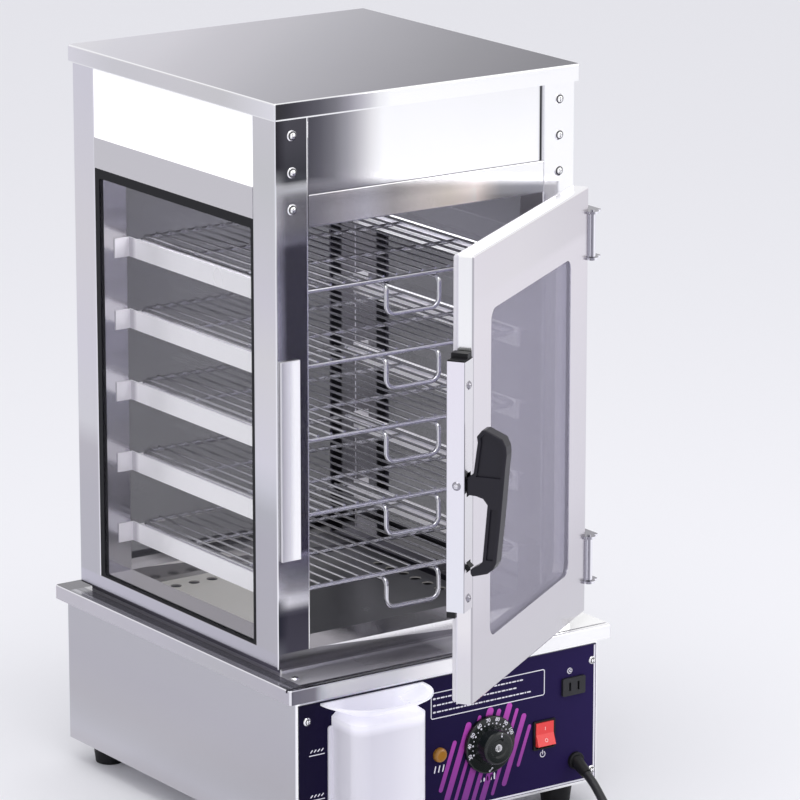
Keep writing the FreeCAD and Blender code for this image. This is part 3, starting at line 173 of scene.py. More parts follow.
def run_of_tones(tree, under, facing, along, span, stops, band=None):
    """Where a surface faces one way, tones along a line in metres take the place of the one under them.

    A band, of a direction and two distances in metres, lets the run in only past its fade.
    """
    just_facing, fully_facing = 0.86, 0.97
    coords = node(tree, "TexCoord")
    share = share_of(tree, dot(tree, coords.outputs["Normal"], facing), just_facing, fully_facing)
    if band:
        inside = share_of(tree, dot(tree, coords.outputs["Object"], band[0]), band[1], band[2])
        share = node(tree, "Math", {"operation": "MULTIPLY"}, {0: share, 1: inside}).outputs[0]
    place = share_of(tree, dot(tree, coords.outputs["Object"], along), span[0], span[1])
    tones = tone_ramp(tree, place, stops)
    return node(tree, "Mix", {"data_type": "RGBA"}, {0: share, 6: under, 7: tones}).outputs[2]


def layered(tree, tone, runs):
    """One tone with runs of tones laid over it in turn."""
    flat = node(tree, "RGB")
    flat.outputs[0].default_value = linear(tone)
    colour = flat.outputs[0]
    for run in runs:
        colour = run_of_tones(tree, colour, *run)
    return colour


def polished_sheet(name, tone, runs=(), roughness=0.16, glow=(), metallic=1.0):
    """Stainless sheet with faint polishing lines, and runs of light and dark that are painted reflections of
    a mirror finish.

    The runs in glow are painted light: an even glow in place of what the sheet would mirror of a studio's
    soft boxes.
    """
    made, tree, shader = material(name)
    coords = node(tree, "TexCoord")
    stretched = node(tree, "Mapping", None, {
        "Vector": coords.outputs["Object"], "Scale": (60.0, 60.0, 900.0),
    })
    lines = node(tree, "TexNoise", None, {"Vector": stretched.outputs["Vector"], "Scale": 3.0, "Detail": 4.0})
    smears = node(tree, "TexNoise", None, {"Vector": coords.outputs["Object"], "Scale": 9.0, "Detail": 2.0})
    rough = node(tree, "MapRange", None, {
        "Value": smears.outputs["Fac"], "To Min": roughness * 0.75, "To Max": roughness * 1.3,
    })
    bump = node(tree, "Bump", None, {"Height": lines.outputs["Fac"], "Strength": 0.025, "Distance": 0.0005})
    tree.links.new(layered(tree, tone, runs), shader.inputs["Base Color"])
    if glow:
        tree.links.new(layered(tree, "#000000", glow), shader.inputs["Emission Color"])
        shader.inputs["Emission Strength"].default_value = 1.0
    tree.links.new(rough.outputs["Result"], shader.inputs["Roughness"])
    tree.links.new(bump.outputs["Normal"], shader.inputs["Normal"])
    shader.inputs["Metallic"].default_value = metallic
    return made


def plain_stuff(name, tone, roughness, specular=0.5, speck=0.06, size=700.0):
    """A plastic, rubber or ink of one tone with a fine uneven grain."""
    made, tree, shader = material(name)
    coords = node(tree, "TexCoord")
    grain = node(tree, "TexNoise", None, {"Vector": coords.outputs["Object"], "Scale": size, "Detail": 3.0})
    ramp = node(tree, "ValToRGB", None, {"Fac": grain.outputs["Fac"]})
    colour = linear(tone)
    ramp.color_ramp.elements[0].color = tuple(c * (1 - speck) for c in colour[:3]) + (1.0,)
    ramp.color_ramp.elements[1].color = tuple(min(c * (1 + speck), 1.0) for c in colour[:3]) + (1.0,)
    bump = node(tree, "Bump", None, {"Height": grain.outputs["Fac"], "Strength": 0.05, "Distance": 0.0002})
    tree.links.new(ramp.outputs["Color"], shader.inputs["Base Color"])
    tree.links.new(bump.outputs["Normal"], shader.inputs["Normal"])
    shader.inputs["Roughness"].default_value = roughness
    shader.inputs["Specular IOR Level"].default_value = specular
    return made


left, right, ahead, behind, upward = (-1, 0, 0), (1, 0, 0), (0, -1, 0), (0, 1, 0), (0, 0, 1)

wear(plain_stuff("black_foot_rubber", "#17171a", 0.6, 0.25), "feet")

base_sides = [
    (0.0, "#c9c7cc"), (0.067, "#cac9cf"), (0.2, "#c1c0c5"), (0.33, "#bdbbc0"), (0.6, "#b9b7be"),
    (1.0, "#b9b8be"),
]
base_sheet = polished_sheet("base_box_sheet", "#ecebf0", [
    *[(side, upward, (0.03, 0.18), base_sides) for side in (left, right, behind)],
    (ahead, right, (-0.184, 0.184), [
        (0.0, "#ffffff"), (0.012, "#ffffff"), (0.02, "#b9b9c1"), (0.5, "#e6e6ec"), (0.9, "#ffffff"),
    ]),
])
wear(base_sheet, "base_shell", "base_bottom")

# Steam works inside the base: a deep-drawn tank, the sheathed heater through its front wall, and over them
# the pierced baffle, which shows through the open door as the chamber's floor. The baffle carries painted
# light and shade, pale towards the left and back and dark towards the right and front.
wear(polished_sheet("drawn_tank_sheet", "#a4a4a8", roughness=0.3), "water_tank")
wear(polished_sheet("oxidised_heater_sheath", "#7d7568", roughness=0.35), "heating_element")
baffle_painted_light_and_shade = polished_sheet("baffle_painted_light_and_shade_sheet", "#8f8d8c", [
    (upward, (0.8, -0.6, 0), (-0.26, 0.10), [
        (0.0, "#c2c0bb"), (0.36, "#cfcdca"), (0.42, "#6a696c"), (0.5, "#3c3c40"), (1.0, "#4a4a4e"),
    ]),
], roughness=0.3, metallic=0.5)
# The baffle's painted tones also feed its glow, painted light that brightens the chamber floor.
shader = shader_of(baffle_painted_light_and_shade)
baffle_tones = shader.inputs["Base Color"].links[0].from_socket
baffle_painted_light_and_shade.node_tree.links.new(baffle_tones, shader.inputs["Emission Color"])
shader.inputs["Emission Strength"].default_value = 0.4
wear(baffle_painted_light_and_shade, "baffle_plate")

# Ledge: a polished tray that closes the base, folded down all round, with a pressed gutter along its front.
# Its top carries painted reflections, dark left of the middle and darker along its back edge, with painted
# shade in the gutter. Its sides carry painted reflections, and its front lip carries a painted reflection,
# dark at the left end, then bright.
ledge_sides = [(0.0, "#c4c1c8"), (0.47, "#bebcc4"), (0.7, "#bab9be"), (1.0, "#b8b5be")]
ledge_sheet = polished_sheet("ledge_tray_sheet", "#e6e5eb", [
    (upward, right, (-0.19, 0.19), [
        (0.0, "#c9c8cd"), (0.08, "#cfced3"), (0.18, "#bdbbc1"), (0.37, "#88868c"), (0.5, "#8a888e"),
        (0.58, "#f0eff4"), (1.0, "#ffffff"),
    ]),
    (upward, right, (-0.19, 0.19), [
        (0.0, "#f0eef3"), (0.08, "#f4f2f7"), (0.18, "#d5d4d9"), (0.37, "#bab7bc"), (0.5, "#bdbbc1"),
        (0.58, "#f6f5f9"), (1.0, "#ffffff"),
    ], ((0, -1, 0), 0.090, 0.1035)),
    (upward, ahead, (0.104, 0.119), [
        (0.0, "#9a989f"), (0.2, "#45444a"), (0.8, "#3a393e"), (1.0, "#7a797f"),
    ], ((0, -1, 0), 0.1045, 0.107)),
    (upward, right, (-0.19, 0.19), [(0.0, "#f2f0f5"), (1.0, "#ffffff")], ((1, 0, 0), 0.0, 0.03)),
    (upward, right, (-0.1942, -0.1765), [
        (0.0, "#838188"), (0.07, "#6f6e75"), (0.24, "#929199"), (0.41, "#b5b4bd"), (0.58, "#727179"),
        (0.75, "#84838b"), (1.0, "#7d7b84"),
    ], ((-1, 0, 0), 0.1745, 0.1755)),
    (upward, right, (-0.19, 0.19), [(0.0, "#5a5861"), (1.0, "#8a8890")], ((0, 1, 0), 0.290, 0.294)),
    *[(side, ahead, (-0.32, 0.12), ledge_sides) for side in (left, right, behind)],
    (ahead, right, (-0.195, 0.19), [
        (0.0, "#45434f"), (0.0095, "#45434f"), (0.012, "#6d6b76"), (0.076, "#79767f"),
        (0.098, "#bbbdc1"), (0.112, "#cfd0d2"), (0.13, "#d6d6d6"), (0.175, "#d7d7d7"),
        (0.247, "#d1d0d3"), (0.325, "#d2d2d5"), (0.4, "#eeecef"), (0.48, "#fffeff"), (0.56, "#ffffff"),
    ]),
], metallic=0.6)
wear(ledge_sheet, "base_top")

# Control panel: a steel plate with a gloss printed skin, dark navy that warms to violet on the right.
# The prints are thin enamel laid 0.1 mm proud: slanted rounded bars in magenta behind the dial, a white
# outline with ruled lines in it, white lines along two edges, and small plain symbols by each control.
panel_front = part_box("control_panel")[0].y
print_thick = 0.0001


def shaded_along(made, axis, low, high, stops, socket="Base Color"):
    """Tones along one axis of the whole, from low to high in metres, on a colour of a material."""
    tree = made.node_tree
    apart = node(tree, "SeparateXYZ", None, {0: node(tree, "TexCoord").outputs["Object"]})
    tones = tone_ramp(tree, share_of(tree, apart.outputs[axis], low, high), stops)
    tree.links.new(tones, shader_of(made).inputs[socket])


panel_skin = plain_stuff("navy_printed_skin", "#1a1235", 0.4, 0.06, 0.04, 400.0)
shaded_along(panel_skin, "X", -0.18, 0.18, [(0.0, "#120d29"), (1.0, "#281e4d")])
wear(panel_skin, "control_panel")


def rounded_bar(x0, z0, x1, z1, width):
    """The outline of a bar with round ends, from one point of the panel to another."""
    angle = math.atan2(z1 - z0, x1 - x0)
    r = width / 2
    outline = []
    for (x, z), start in (((x1, z1), angle - math.pi / 2), ((x0, z0), angle + math.pi / 2)):
        for i in range(9):
            a = start + math.pi * i / 8
            outline.append((x + r * math.cos(a), z + r * math.sin(a)))
    return outline


def ring(x, z, r_out, r_in, start=0.0, turn=360.0, steps=32):
    """Strips of a ring or an arc, as one closed outline for each step."""
    strips = []
    for i in range(steps):
        a = math.radians(start + turn * i / steps)
        b = math.radians(start + turn * (i + 1) / steps)
        strips.append([
            (x + r * math.cos(at), z + r * math.sin(at))
            for r, at in ((r_out, a), (r_out, b), (r_in, b), (r_in, a))
        ])
    return strips


def front_of(node_name, x, z):
    """Where a piece's surface is first met from the front, at a place in mm."""
    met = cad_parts[node_name].ray_cast(Vector((x / 1000, -1.0, z / 1000)), Vector((0, 1, 0)))
    return met[1].y


def printed(name, outlines, ink, face, body):
    """Outlines in mm, printed as one thin layer on an upright plane.

    Where face is a piece's name, the layer lies on that piece's front instead.
    """
    points = []
    faces = []
    for outline in outlines:
        faces.append(list(range(len(points), len(points) + len(outline))))
        for x, z in outline:
            y = front_of(face, x, z) - print_thick if isinstance(face, str) else face
            points.append((x / 1000, y, z / 1000))
    mesh = bpy.data.meshes.new(name)
    mesh.from_pydata(points, [], faces)
    for polygon in mesh.polygons:
        if polygon.normal.y > 0:
            polygon.flip()
    mesh.materials.append(ink)
    piece = bpy.data.objects.new(name, mesh)
    bpy.context.collection.objects.link(piece)
    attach(piece, body)


magenta_ink = plain_stuff("magenta_print", "#b23fb0", 0.35, 0.3, 0.05, 500.0)
shaded_along(magenta_ink, "Z", 0.035, 0.15, [(0.0, "#7f3a8e"), (1.0, "#d04cc6")])
white_ink = plain_stuff("white_print", "#eceaf4", 0.4, 0.3, 0.02, 500.0)

bars = []
first_bar_x = 2
bar_pitch = 11.5
lean = 0.36
upright_at = 90
for i, (low, high, width) in enumerate((
    (52, 98, 5.0), (40, 113, 7.0), (34, 119, 4.0), (33, 123, 8.0), (32, 121, 5.0),
    (33, 124, 7.0), (36, 118, 4.0), (44, 110, 6.0), (60, 98, 4.0),
)):
    x = first_bar_x + bar_pitch * i
    bars.append(rounded_bar(x + lean * (low - upright_at), low, x + lean * (high - upright_at), high, width))
printed("magenta_bars", bars, magenta_ink, panel_front - print_thick, "cabinet")

# The outline round the ruled lines, with its round corners.
white_marks = []
x0, x1, z0, z1, r, line_w = -24.1, 115.4, 127.3, 154.8, 2.5, 1.0
corners = ((x1 - r, z0 + r, 270), (x1 - r, z1 - r, 0), (x0 + r, z1 - r, 90), (x0 + r, z0 + r, 180))
for cx, cz, start in corners:
    white_marks += ring(cx, cz, r, r - line_w, start, 90.0, 6)
white_marks += [
    [(x0 + r, z0), (x1 - r, z0), (x1 - r, z0 + line_w), (x0 + r, z0 + line_w)],
    [(x0 + r, z1 - line_w), (x1 - r, z1 - line_w), (x1 - r, z1), (x0 + r, z1)],
    [(x0, z0 + r), (x0 + line_w, z0 + r), (x0 + line_w, z1 - r), (x0, z1 - r)],
    [(x1 - line_w, z0 + r), (x1, z0 + r), (x1, z1 - r), (x1 - line_w, z1 - r)],
]
# Three ruled lines of short bars of uneven lengths, each behind a dot.
top_line_z, line_pitch, line_start = 148.2, 7.0, -17
for row, line_end in enumerate((92, 84, 101)):
    z = top_line_z - line_pitch * row
    white_marks.append(rounded_bar(-20.5, z, -19.0, z, 2.0))
    at = line_start
    for i in range(40):
        step = 4.6 + 1.7 * math.sin(2.3 * i + row)
        if at + step > line_end:
            break
        white_marks.append(rounded_bar(at + 0.8, z, at + step - 1.4, z, 1.5))
        at += step
# Lines along the panel's right and lower edges, then the marks of the cup's levels, the indicator,
# the dial, the switch (a power sign) and the outlet (a lamp sign).
white_marks += [
    [(176.6, 30.0), (178.7, 30.0), (178.7, 169.0), (176.6, 169.0)],
    [(-178.7, 28.0), (178.7, 28.0), (178.7, 29.8), (-178.7, 29.8)],
]
for z in (121.5, 75.5):
    white_marks.append(rounded_bar(-168.0, z - 4.0, -150.5, z - 4.0, 0.9))
    for i in range(4):
        white_marks.append(rounded_bar(-166.5 + 4.2 * i, z - 0.6, -164.6 + 4.2 * i, z + 1.2, 1.2))
for i in range(3):
    white_marks.append(rounded_bar(-19.5 + 5.0 * i, 71.5, -18.0 + 5.0 * i, 77.5, 1.4))
for i in range(5):
    white_marks.append(rounded_bar(37.0 + 4.2 * i, 51.5, 37.0 + 4.2 * i, 52.6 + 1.1 * i, 1.7))
x, z = 113.5, 65.4
white_marks += ring(x, z, 3.4, 2.5, 120.0, 300.0, 20)
white_marks.append(rounded_bar(x, z + 0.2, x, z + 4.2, 1.0))
x, z = 146.5, 147.0
white_marks += ring(x, z, 3.2, 2.4)
white_marks.append(rounded_bar(x - 2.0, z - 2.0, x + 2.0, z + 2.0, 0.8))
white_marks.append(rounded_bar(x - 2.0, z + 2.0, x + 2.0, z - 2.0, 0.8))
printed("white_marks", white_marks, white_ink, panel_front - print_thick, "cabinet")

# Dial: a gloss moulding, almost black, over the thermostat's plastic body. Its numbers and dots are
# pad printed on the flat of the rim and its pointer on the grip, and a small bright cap closes the spindle.
wear(plain_stuff("grey_thermostat_case", "#3a3a3e", 0.5), "thermostat_body")
wear(plain_stuff("gloss_black_dial", "#141a19", 0.18, 0.5), "thermostat_knob")
dial_x, dial_z = 45.9, 89.5
dial_gap = 0.0006
rim_thick = 0.0045
rim_front = panel_front - dial_gap - rim_thick - print_thick
scale_start = 198.0
number_step = -25.0


def on_dial(radius, degrees):
    """A point of the dial in mm, from its distance to the axis and its angle."""
    angle = math.radians(degrees)
    return dial_x + radius * math.cos(angle), dial_z + radius * math.sin(angle)


def numerals(words, radius, size):
    """Short number texts standing round the dial, turned to plain mesh outlines in mm."""
    outlines = []
    for i, word in enumerate(words):
        text = bpy.data.curves.new("numeral", "FONT")
        text.body = word
        text.size = size
        text.offset = 0.15
        text.align_x = "CENTER"
        text.align_y = "CENTER"
        text.resolution_u = 3
        shown = bpy.data.objects.new("numeral", text)
        bpy.context.collection.objects.link(shown)
        bpy.context.view_layer.update()
        flat = shown.to_mesh()
        turn = math.radians(scale_start + number_step * i) - math.pi / 2
        for polygon in flat.polygons:
            outline = []
            for index in polygon.vertices:
                x, y = flat.vertices[index].co.x, flat.vertices[index].co.y + radius
                outline.append((
                    dial_x + x * math.cos(turn) - y * math.sin(turn),
                    dial_z + x * math.sin(turn) + y * math.cos(turn),
                ))
            outlines.append(outline)
        shown.to_mesh_clear()
        bpy.data.objects.remove(shown)
    return outlines


scale_marks = numerals(["30", "40", "50", "60", "70", "80", "90", "100"], 26.3, 5.4)
for i in range(15):
    x, z = on_dial(22.3, scale_start + number_step / 2 * i)
    scale_marks.append(rounded_bar(x, z, x + 0.01, z, 2.1 if i % 2 == 0 else 1.3))
# The mark of the rest position, low on the rim: a short line between two dots.
x, z = dial_x, dial_z
scale_marks.append(rounded_bar(x - 1.5, z - 27.0, x + 1.5, z - 24.6, 0.8))
scale_marks.append(rounded_bar(x - 1.5, z - 27.0, x - 1.2, z - 26.8, 1.9))
scale_marks.append(rounded_bar(x + 1.2, z - 24.8, x + 1.5, z - 24.6, 1.9))
printed("dial_numerals", scale_marks, white_ink, rim_front, "thermostat_dial")
pointer = rounded_bar(*on_dial(12.4, 78.0), *on_dial(14.8, 78.0), 1.6)
printed("dial_pointer", [pointer], white_ink, "thermostat_knob", "thermostat_dial")

# The spindle's cap, turned from a profile of radii and heights in mm over the bottom of the grip's dish.
# Its slot lies just proud of its flat middle.
cap_front = front_of("thermostat_knob", dial_x, dial_z)
cap_profile = [(4.1, -0.3), (4.1, 0.15), (3.9, 0.35), (3.3, 0.42), (2.9, 0.2), (0.6, 0.2)]
rings = len(cap_profile)
cap_steps = 28
cap_points = []
cap_faces = []
for i in range(cap_steps):
    for radius, height in cap_profile:
        x, z = on_dial(radius, 360.0 * i / cap_steps)
        cap_points.append((x / 1000, cap_front - height / 1000, z / 1000))
    a, b = i * rings, (i + 1) % cap_steps * rings
    for k in range(rings - 1):
        cap_faces.append((a + k, b + k, b + k + 1, a + k + 1))
cap_faces.append([i * rings + rings - 1 for i in range(cap_steps)])
cap_mesh = bpy.data.meshes.new("spindle_cap")
cap_mesh.from_pydata(cap_points, [], cap_faces)
cap_mesh.materials.append(polished_sheet("nickel_spindle_cap", "#dcdcdf", roughness=0.2))
spindle_cap = bpy.data.objects.new("spindle_cap", cap_mesh)
bpy.context.collection.objects.link(spindle_cap)
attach(spindle_cap, "thermostat_dial")
slot_shade = plain_stuff("dark_slot_shade", "#232326", 0.5)
spindle_slot = rounded_bar(dial_x, dial_z - 1.7, dial_x, dial_z + 1.7, 1.1)
cap_middle = cap_front - 0.00022
printed("spindle_slot", [spindle_slot], slot_shade, cap_middle, "thermostat_dial")

# Rocker switch: a translucent red rocker with printed on and off marks, in a black snap-in housing; the
# rocker's faint glow is painted light.
# The indicator is an amber lens, the outlet is dark grey plastic, and the cord's gland is black nylon.
wear(plain_stuff("black_switch_housing", "#131316", 0.4, 0.25), "switch_housing")


def lit(made, tone, strength):
    """Gives a material an even glow."""
    shader = shader_of(made)
    shader.inputs["Emission Color"].default_value = linear(tone)
    shader.inputs["Emission Strength"].default_value = strength
    return made


# The rocker's faint red glow is painted light.
rocker_red = lit(plain_stuff("translucent_red_rocker_painted_glow", "#e23c3e", 0.25, 0.4), "#ff5a52", 0.12)
wear(rocker_red, "switch_rocker")
pale_ink = plain_stuff("pale_rocker_print", "#ffc6c2", 0.35, 0.3, 0.02)
on_off_marks = [rounded_bar(114.6, 91.6, 114.6, 94.4, 0.9)] + ring(114.6, 81.2, 1.9, 1.2)
printed("on_off_marks", on_off_marks, pale_ink, "switch_rocker", "power_rocker")
wear(plain_stuff("amber_lens", "#a8742c", 0.12, 0.6), "indicator_lamp")
wear(plain_stuff("dark_grey_outlet", "#2a2a2e", 0.45, 0.3), "light_socket")
wear(plain_stuff("black_gland_nylon", "#19191b", 0.45, 0.25), "cord_gland")

# Water cup: thin milky polyethylene on the panel. Across its rounded body it carries painted shade, darker
# left of the middle, and a painted glow, brighter towards its top, takes the place of light through its
# walls.
cup_milk = plain_stuff("milky_cup", "#dcdbe4", 0.28, 0.4, 0.02)
shaded_along(cup_milk, "X", -0.148, -0.050, [
    (0.0, "#d6d4dc"), (0.22, "#c8c6d0"), (0.45, "#cfcdd7"), (0.7, "#dedce4"), (1.0, "#eaeaef"),
])
shaded_along(cup_milk, "Z", 0.142, 0.150, [(0.0, "#808088"), (1.0, "#d4d4de")], "Emission Color")
shader_of(cup_milk).inputs["Emission Strength"].default_value = 0.5
wear(cup_milk, "water_cup")

# Cabinet frame: square-tube posts and folded headers of mirror-polished stainless. Each face carries long
# soft runs of light and dark, painted reflections of the kind such a finish shows; thin white lines are
# painted highlights, dark seam lines are painted shade, and the glows are painted light.
back_post_tones = [
    (0.0, "#bab9c0"), (0.182, "#bdbbc2"), (0.264, "#c2bfc5"), (0.31, "#d9d8dc"), (0.455, "#dcd9e1"),
    (0.655, "#e1dee1"), (1.0, "#e0dee6"),
]
# The back posts' tones are painted reflections.
back_post_sheet = polished_sheet("back_post_sheet", "#efeef3", [
    (side, upward, (0.2, 0.75), back_post_tones) for side in (left, right, ahead, behind)
])
wear(back_post_sheet, "post_back_left", "post_back_right")
post_side_tones = [
    (0.0, "#b5b3b9"), (0.218, "#b7b5bd"), (0.273, "#babac0"), (0.318, "#d1d1d8"), (0.364, "#dddbe3"),
    (0.545, "#dfdddf"), (0.655, "#dad7de"), (0.873, "#d4d4d5"), (1.0, "#dbd9dd"),
]
post_sides = [(side, upward, (0.20, 0.75), post_side_tones) for side in (left, right, behind)]
# Painted reflections on the front left post: bands of dark and light up its front, with a painted highlight
# along its inner front edge.
left_post_sheet = polished_sheet("front_left_post_sheet", "#f4f4f8", [
    *post_sides,
    (ahead, upward, (0.20, 0.76), [
        (0.0, "#4a4852"), (0.04, "#43414b"), (0.086, "#403e48"), (0.096, "#56545e"), (0.111, "#f5f4f7"),
        (0.121, "#f9f9fb"), (0.132, "#c6c5c7"), (0.157, "#a7a8ab"), (0.184, "#a7a5ad"),
        (0.195, "#c8c6cf"), (0.2012, "#55535e"), (0.206, "#625f6c"), (0.259, "#5b5a5e"),
        (0.357, "#636266"), (0.45, "#5d5c60"), (0.714, "#626164"), (0.738, "#67666a"), (0.75, "#b1b1b2"),
        (0.786, "#aeadae"), (0.816, "#a2a1a5"), (0.829, "#b4b4b5"), (0.839, "#e3e5e6"),
        (0.848, "#bebfc0"), (0.855, "#4a4b50"), (0.871, "#404045"), (0.92, "#4c4b51"), (1.0, "#515056"),
    ]),
    (ahead, upward, (0.20, 0.76), [
        (0.0, "#6a6a72"), (0.023, "#5e5e66"), (0.054, "#2b2b35"), (0.086, "#292933"), (0.111, "#6a6a70"),
        (0.125, "#edecf0"), (0.157, "#bfbec2"), (0.184, "#8e8c92"), (0.205, "#c3c3c5"), (0.5, "#cfcfd2"),
        (0.562, "#dcdcde"), (0.616, "#e2e2e4"), (0.67, "#d1d1d3"), (0.71, "#c3c3c5"), (0.75, "#d8d7d6"),
        (0.786, "#ecebea"), (0.848, "#dbdbdc"), (0.857, "#898a8c"), (0.88, "#2e2c32"), (1.0, "#353438"),
    ], ((-1, 0, 0), 0.164, 0.1755)),
    (ahead, upward, (0.20, 0.76), even("#ffffff"), ((1, 0, 0), -0.1412, -0.1408)),
])
wear(left_post_sheet, "post_front_left")
# Painted reflections on the front right post: pale on its front and darker low on its inner side, with a
# painted glow near the top of its front.
right_post_sheet = polished_sheet("front_right_post_sheet", "#f4f4f8", [
    *post_sides,
    (ahead, upward, (0.20, 0.76), [(0.0, "#c8c7cc"), (0.6, "#f8f8fa"), (0.8, "#ffffff")]),
    (left, upward, (0.20, 0.76), [(0.0, "#9a9596"), (0.5, "#c8c4c6"), (1.0, "#dedce0")]),
], glow=[
    (ahead, upward, (0.20, 0.76), [(0.0, "#000000"), (0.8, "#000000"), (0.9, "#404040"), (1.0, "#606060")]),
])
wear(right_post_sheet, "post_front_right")
# Painted reflection on the header's front, dark at its left end and white to the right and greyer low on it,
# with a dark painted shade line near its right end and a painted glow over its pale part.
header_sheet = polished_sheet("header_panel_sheet", "#d8d7dc", [
    (ahead, right, (-0.14, 0.14), [
        (0.0, "#504f56"), (0.054, "#626168"), (0.107, "#7b7a80"), (0.161, "#a09fa4"), (0.196, "#bab8bc"),
        (0.232, "#d7d6d8"), (0.268, "#f2f1f1"), (0.31, "#ffffff"), (0.976, "#ffffff"),
        (0.979, "#1e1e22"), (0.987, "#29292d"), (0.990, "#e6e6ea"),
    ]),
    (ahead, right, (-0.14, 0.14), [
        (0.0, "#8d8c92"), (0.4, "#b4b3b9"), (0.8, "#e8e8ef"), (1.0, "#f4f4f8"),
    ], ((-0.1235, 0, -1), -0.664, -0.655)),
], glow=[
    (ahead, right, (-0.14, 0.14), [
        (0.0, "#000000"), (0.27, "#000000"), (0.32, "#404040"), (0.97, "#404040"), (0.976, "#000000"),
    ]),
])
wear(header_sheet, "header_panel")
# Painted reflections along the rail's front, warm and pale in the middle, with a painted glow along its lower
# part.
rail_sheet = polished_sheet("header_rail_sheet", "#c8c6ca", [
    (ahead, right, (-0.14, 0.14), [(0.0, "#f0f0f4"), (1.0, "#ffffff")]),
    (ahead, right, (-0.14, 0.14), [
        (0.0, "#aeadb2"), (0.129, "#ccc9ca"), (0.243, "#dcdbdf"), (0.357, "#c1bebb"), (0.471, "#ded8d2"),
        (0.586, "#e3ddd5"), (0.7, "#fff6f0"), (0.74, "#e8e0da"), (0.814, "#b4b6b8"), (0.93, "#b8bac0"),
        (1.0, "#c4c6ca"),
    ], ((-0.1235, 0, -1), -0.664, -0.655)),
], glow=[
    (ahead, right, (-0.14, 0.14), [
        (0.0, "#202022"), (0.129, "#4a494c"), (0.243, "#58575b"), (0.357, "#605d5b"), (0.471, "#86807c"),
        (0.586, "#968e84"), (0.7, "#9c948e"), (0.76, "#66625e"), (0.814, "#565456"), (1.0, "#424246"),
    ], ((0, 0, -1), -0.656, -0.645)),
])
wear(rail_sheet, "header_rail")
side_header_sheet = polished_sheet("side_header_sheet", "#d4d2d5")
wear(side_header_sheet, "side_header_left", "side_header_right", "back_header")
bottom_side_tones = [(0.0, "#c2c0cb"), (0.5, "#bcbac4"), (1.0, "#b6b4bd")]
# Painted reflections on the bottom frame: dark along its front, with painted highlights along its upper front
# and at the foot of its neck, dark painted shade on the neck at its left side, and a painted glow on the left
# of its top.
bottom_sheet = polished_sheet("bottom_frame_sheet", "#f0eff4", [
    *[(side, ahead, (-0.30, 0.08), bottom_side_tones) for side in (left, right, behind)],
    (ahead, right, (-0.18, 0.18), [
        (0.0, "#626068"), (0.083, "#6f6e70"), (0.153, "#7e7c81"), (0.36, "#888789"), (0.5, "#8d8b91"),
        (1.0, "#b0aeb2"),
    ]),
    (ahead, right, (-0.18, 0.18), [
        (0.0, "#e8e7ec"), (0.3, "#faf8fa"), (1.0, "#ffffff"),
    ], ((0.067, 0, 1), 0.2030, 0.2036)),
    (ahead, right, (-0.18, 0.18), [
        (0.0, "#8e8c90"), (0.055, "#898789"), (0.167, "#908f91"), (0.278, "#a2a1a4"), (0.389, "#c3c2c6"),
        (0.5, "#b5b4b9"), (1.0, "#d8d6dc"),
    ], ((0, 0, -1), -0.1968, -0.1962)),
    (ahead, right, (-0.18, 0.18), even("#ffffff"), ((0, 0, -1), -0.1916, -0.1911)),
    (left, ahead, (-0.30, 0.08), [
        (0.0, "#26252d"), (0.28, "#383641"), (0.5, "#4a4855"), (0.7, "#413f4a"), (0.92, "#595665"),
        (1.0, "#595665"),
    ], ((0, 0, -1), -0.1983, -0.1977)),
    (upward, right, (-0.18, 0.18), [(0.0, "#8d8b93"), (1.0, "#c8c6cc")]),
], glow=[
    (upward, right, (-0.18, 0.18), [(0.0, "#8c898e"), (0.2, "#8c898e"), (0.3, "#000000"), (1.0, "#000000")]),
])
wear(bottom_sheet, "bottom_frame")

# Light box under the lid: two white opal panels, a tube lamp between them, and the chamber's steel ceiling.
opal = lit(plain_stuff("white_opal_panel", "#fafafc", 0.3, 0.4, 0.01), "#ffffff", 0.35)
wear(opal, "light_panel_left", "light_panel_right")
tube_white = lit(plain_stuff("frosted_tube_lamp", "#f4f4f0", 0.4, 0.3, 0.01), "#ffffff", 1.5)
wear(tube_white, "light_tube")
wear(polished_sheet("chamber_ceiling_sheet", "#9a989c", roughness=0.28), "chamber_ceiling")
chamber_light = soft_lamp("chamber_light", (0.0, 0.11, 0.63), (0.0, 0.11, 0.2), 0.24, 1.3)
chamber_light.visible_glossy = False

# Windows: panes in black rubber channels. The left pane is clear, with a thin grey haze that is a painted
# reflection of the room. The right and back panes carry a dense dark haze of painted shade, so the chamber's
# far sides read dark behind the racks.
wear(plain_stuff("black_window_rubber", "#0b0b12", 0.55, 0.2), "window_rubbers")


def pane(name, tone, haze, runs=()):
    """Clear glass with a haze of one tone over it, a painted reflection that in some panes is painted shade,
    denser where it is seen at a flat angle.
    """
    made, tree, shader = material(name)
    coords = node(tree, "TexCoord")
    cloud = node(tree, "TexNoise", None, {"Vector": coords.outputs["Object"], "Scale": 4.0, "Detail": 1.0})
    density = node(tree, "MapRange", None, {
        "Value": cloud.outputs["Fac"], "To Min": haze * 0.85, "To Max": haze * 1.15,
    })
    edge_on = node(tree, "LayerWeight", None, {"Blend": 0.5})
    steep = node(tree, "Math", {"operation": "POWER"}, {0: edge_on.outputs["Facing"], 1: 5.0})
    glare = node(tree, "Math", {"operation": "MULTIPLY"}, {0: steep.outputs[0], 1: 0.6})
    alpha = node(tree, "Math", {"operation": "ADD", "use_clamp": True}, {
        0: density.outputs["Result"], 1: glare.outputs[0],
    })
    tree.links.new(layered(tree, tone, runs), shader.inputs["Base Color"])
    tree.links.new(alpha.outputs[0], shader.inputs["Alpha"])
    shader.inputs["Roughness"].default_value = 0.03
    return made


wear(pane("window_glass", "#5a5860", 0.1), "glass_left")
# The dense dark haze on the right and back panes is painted shade.
wear(pane("window_glass_painted_shade", "#3d3b48", 0.62), "glass_right", "glass_back")

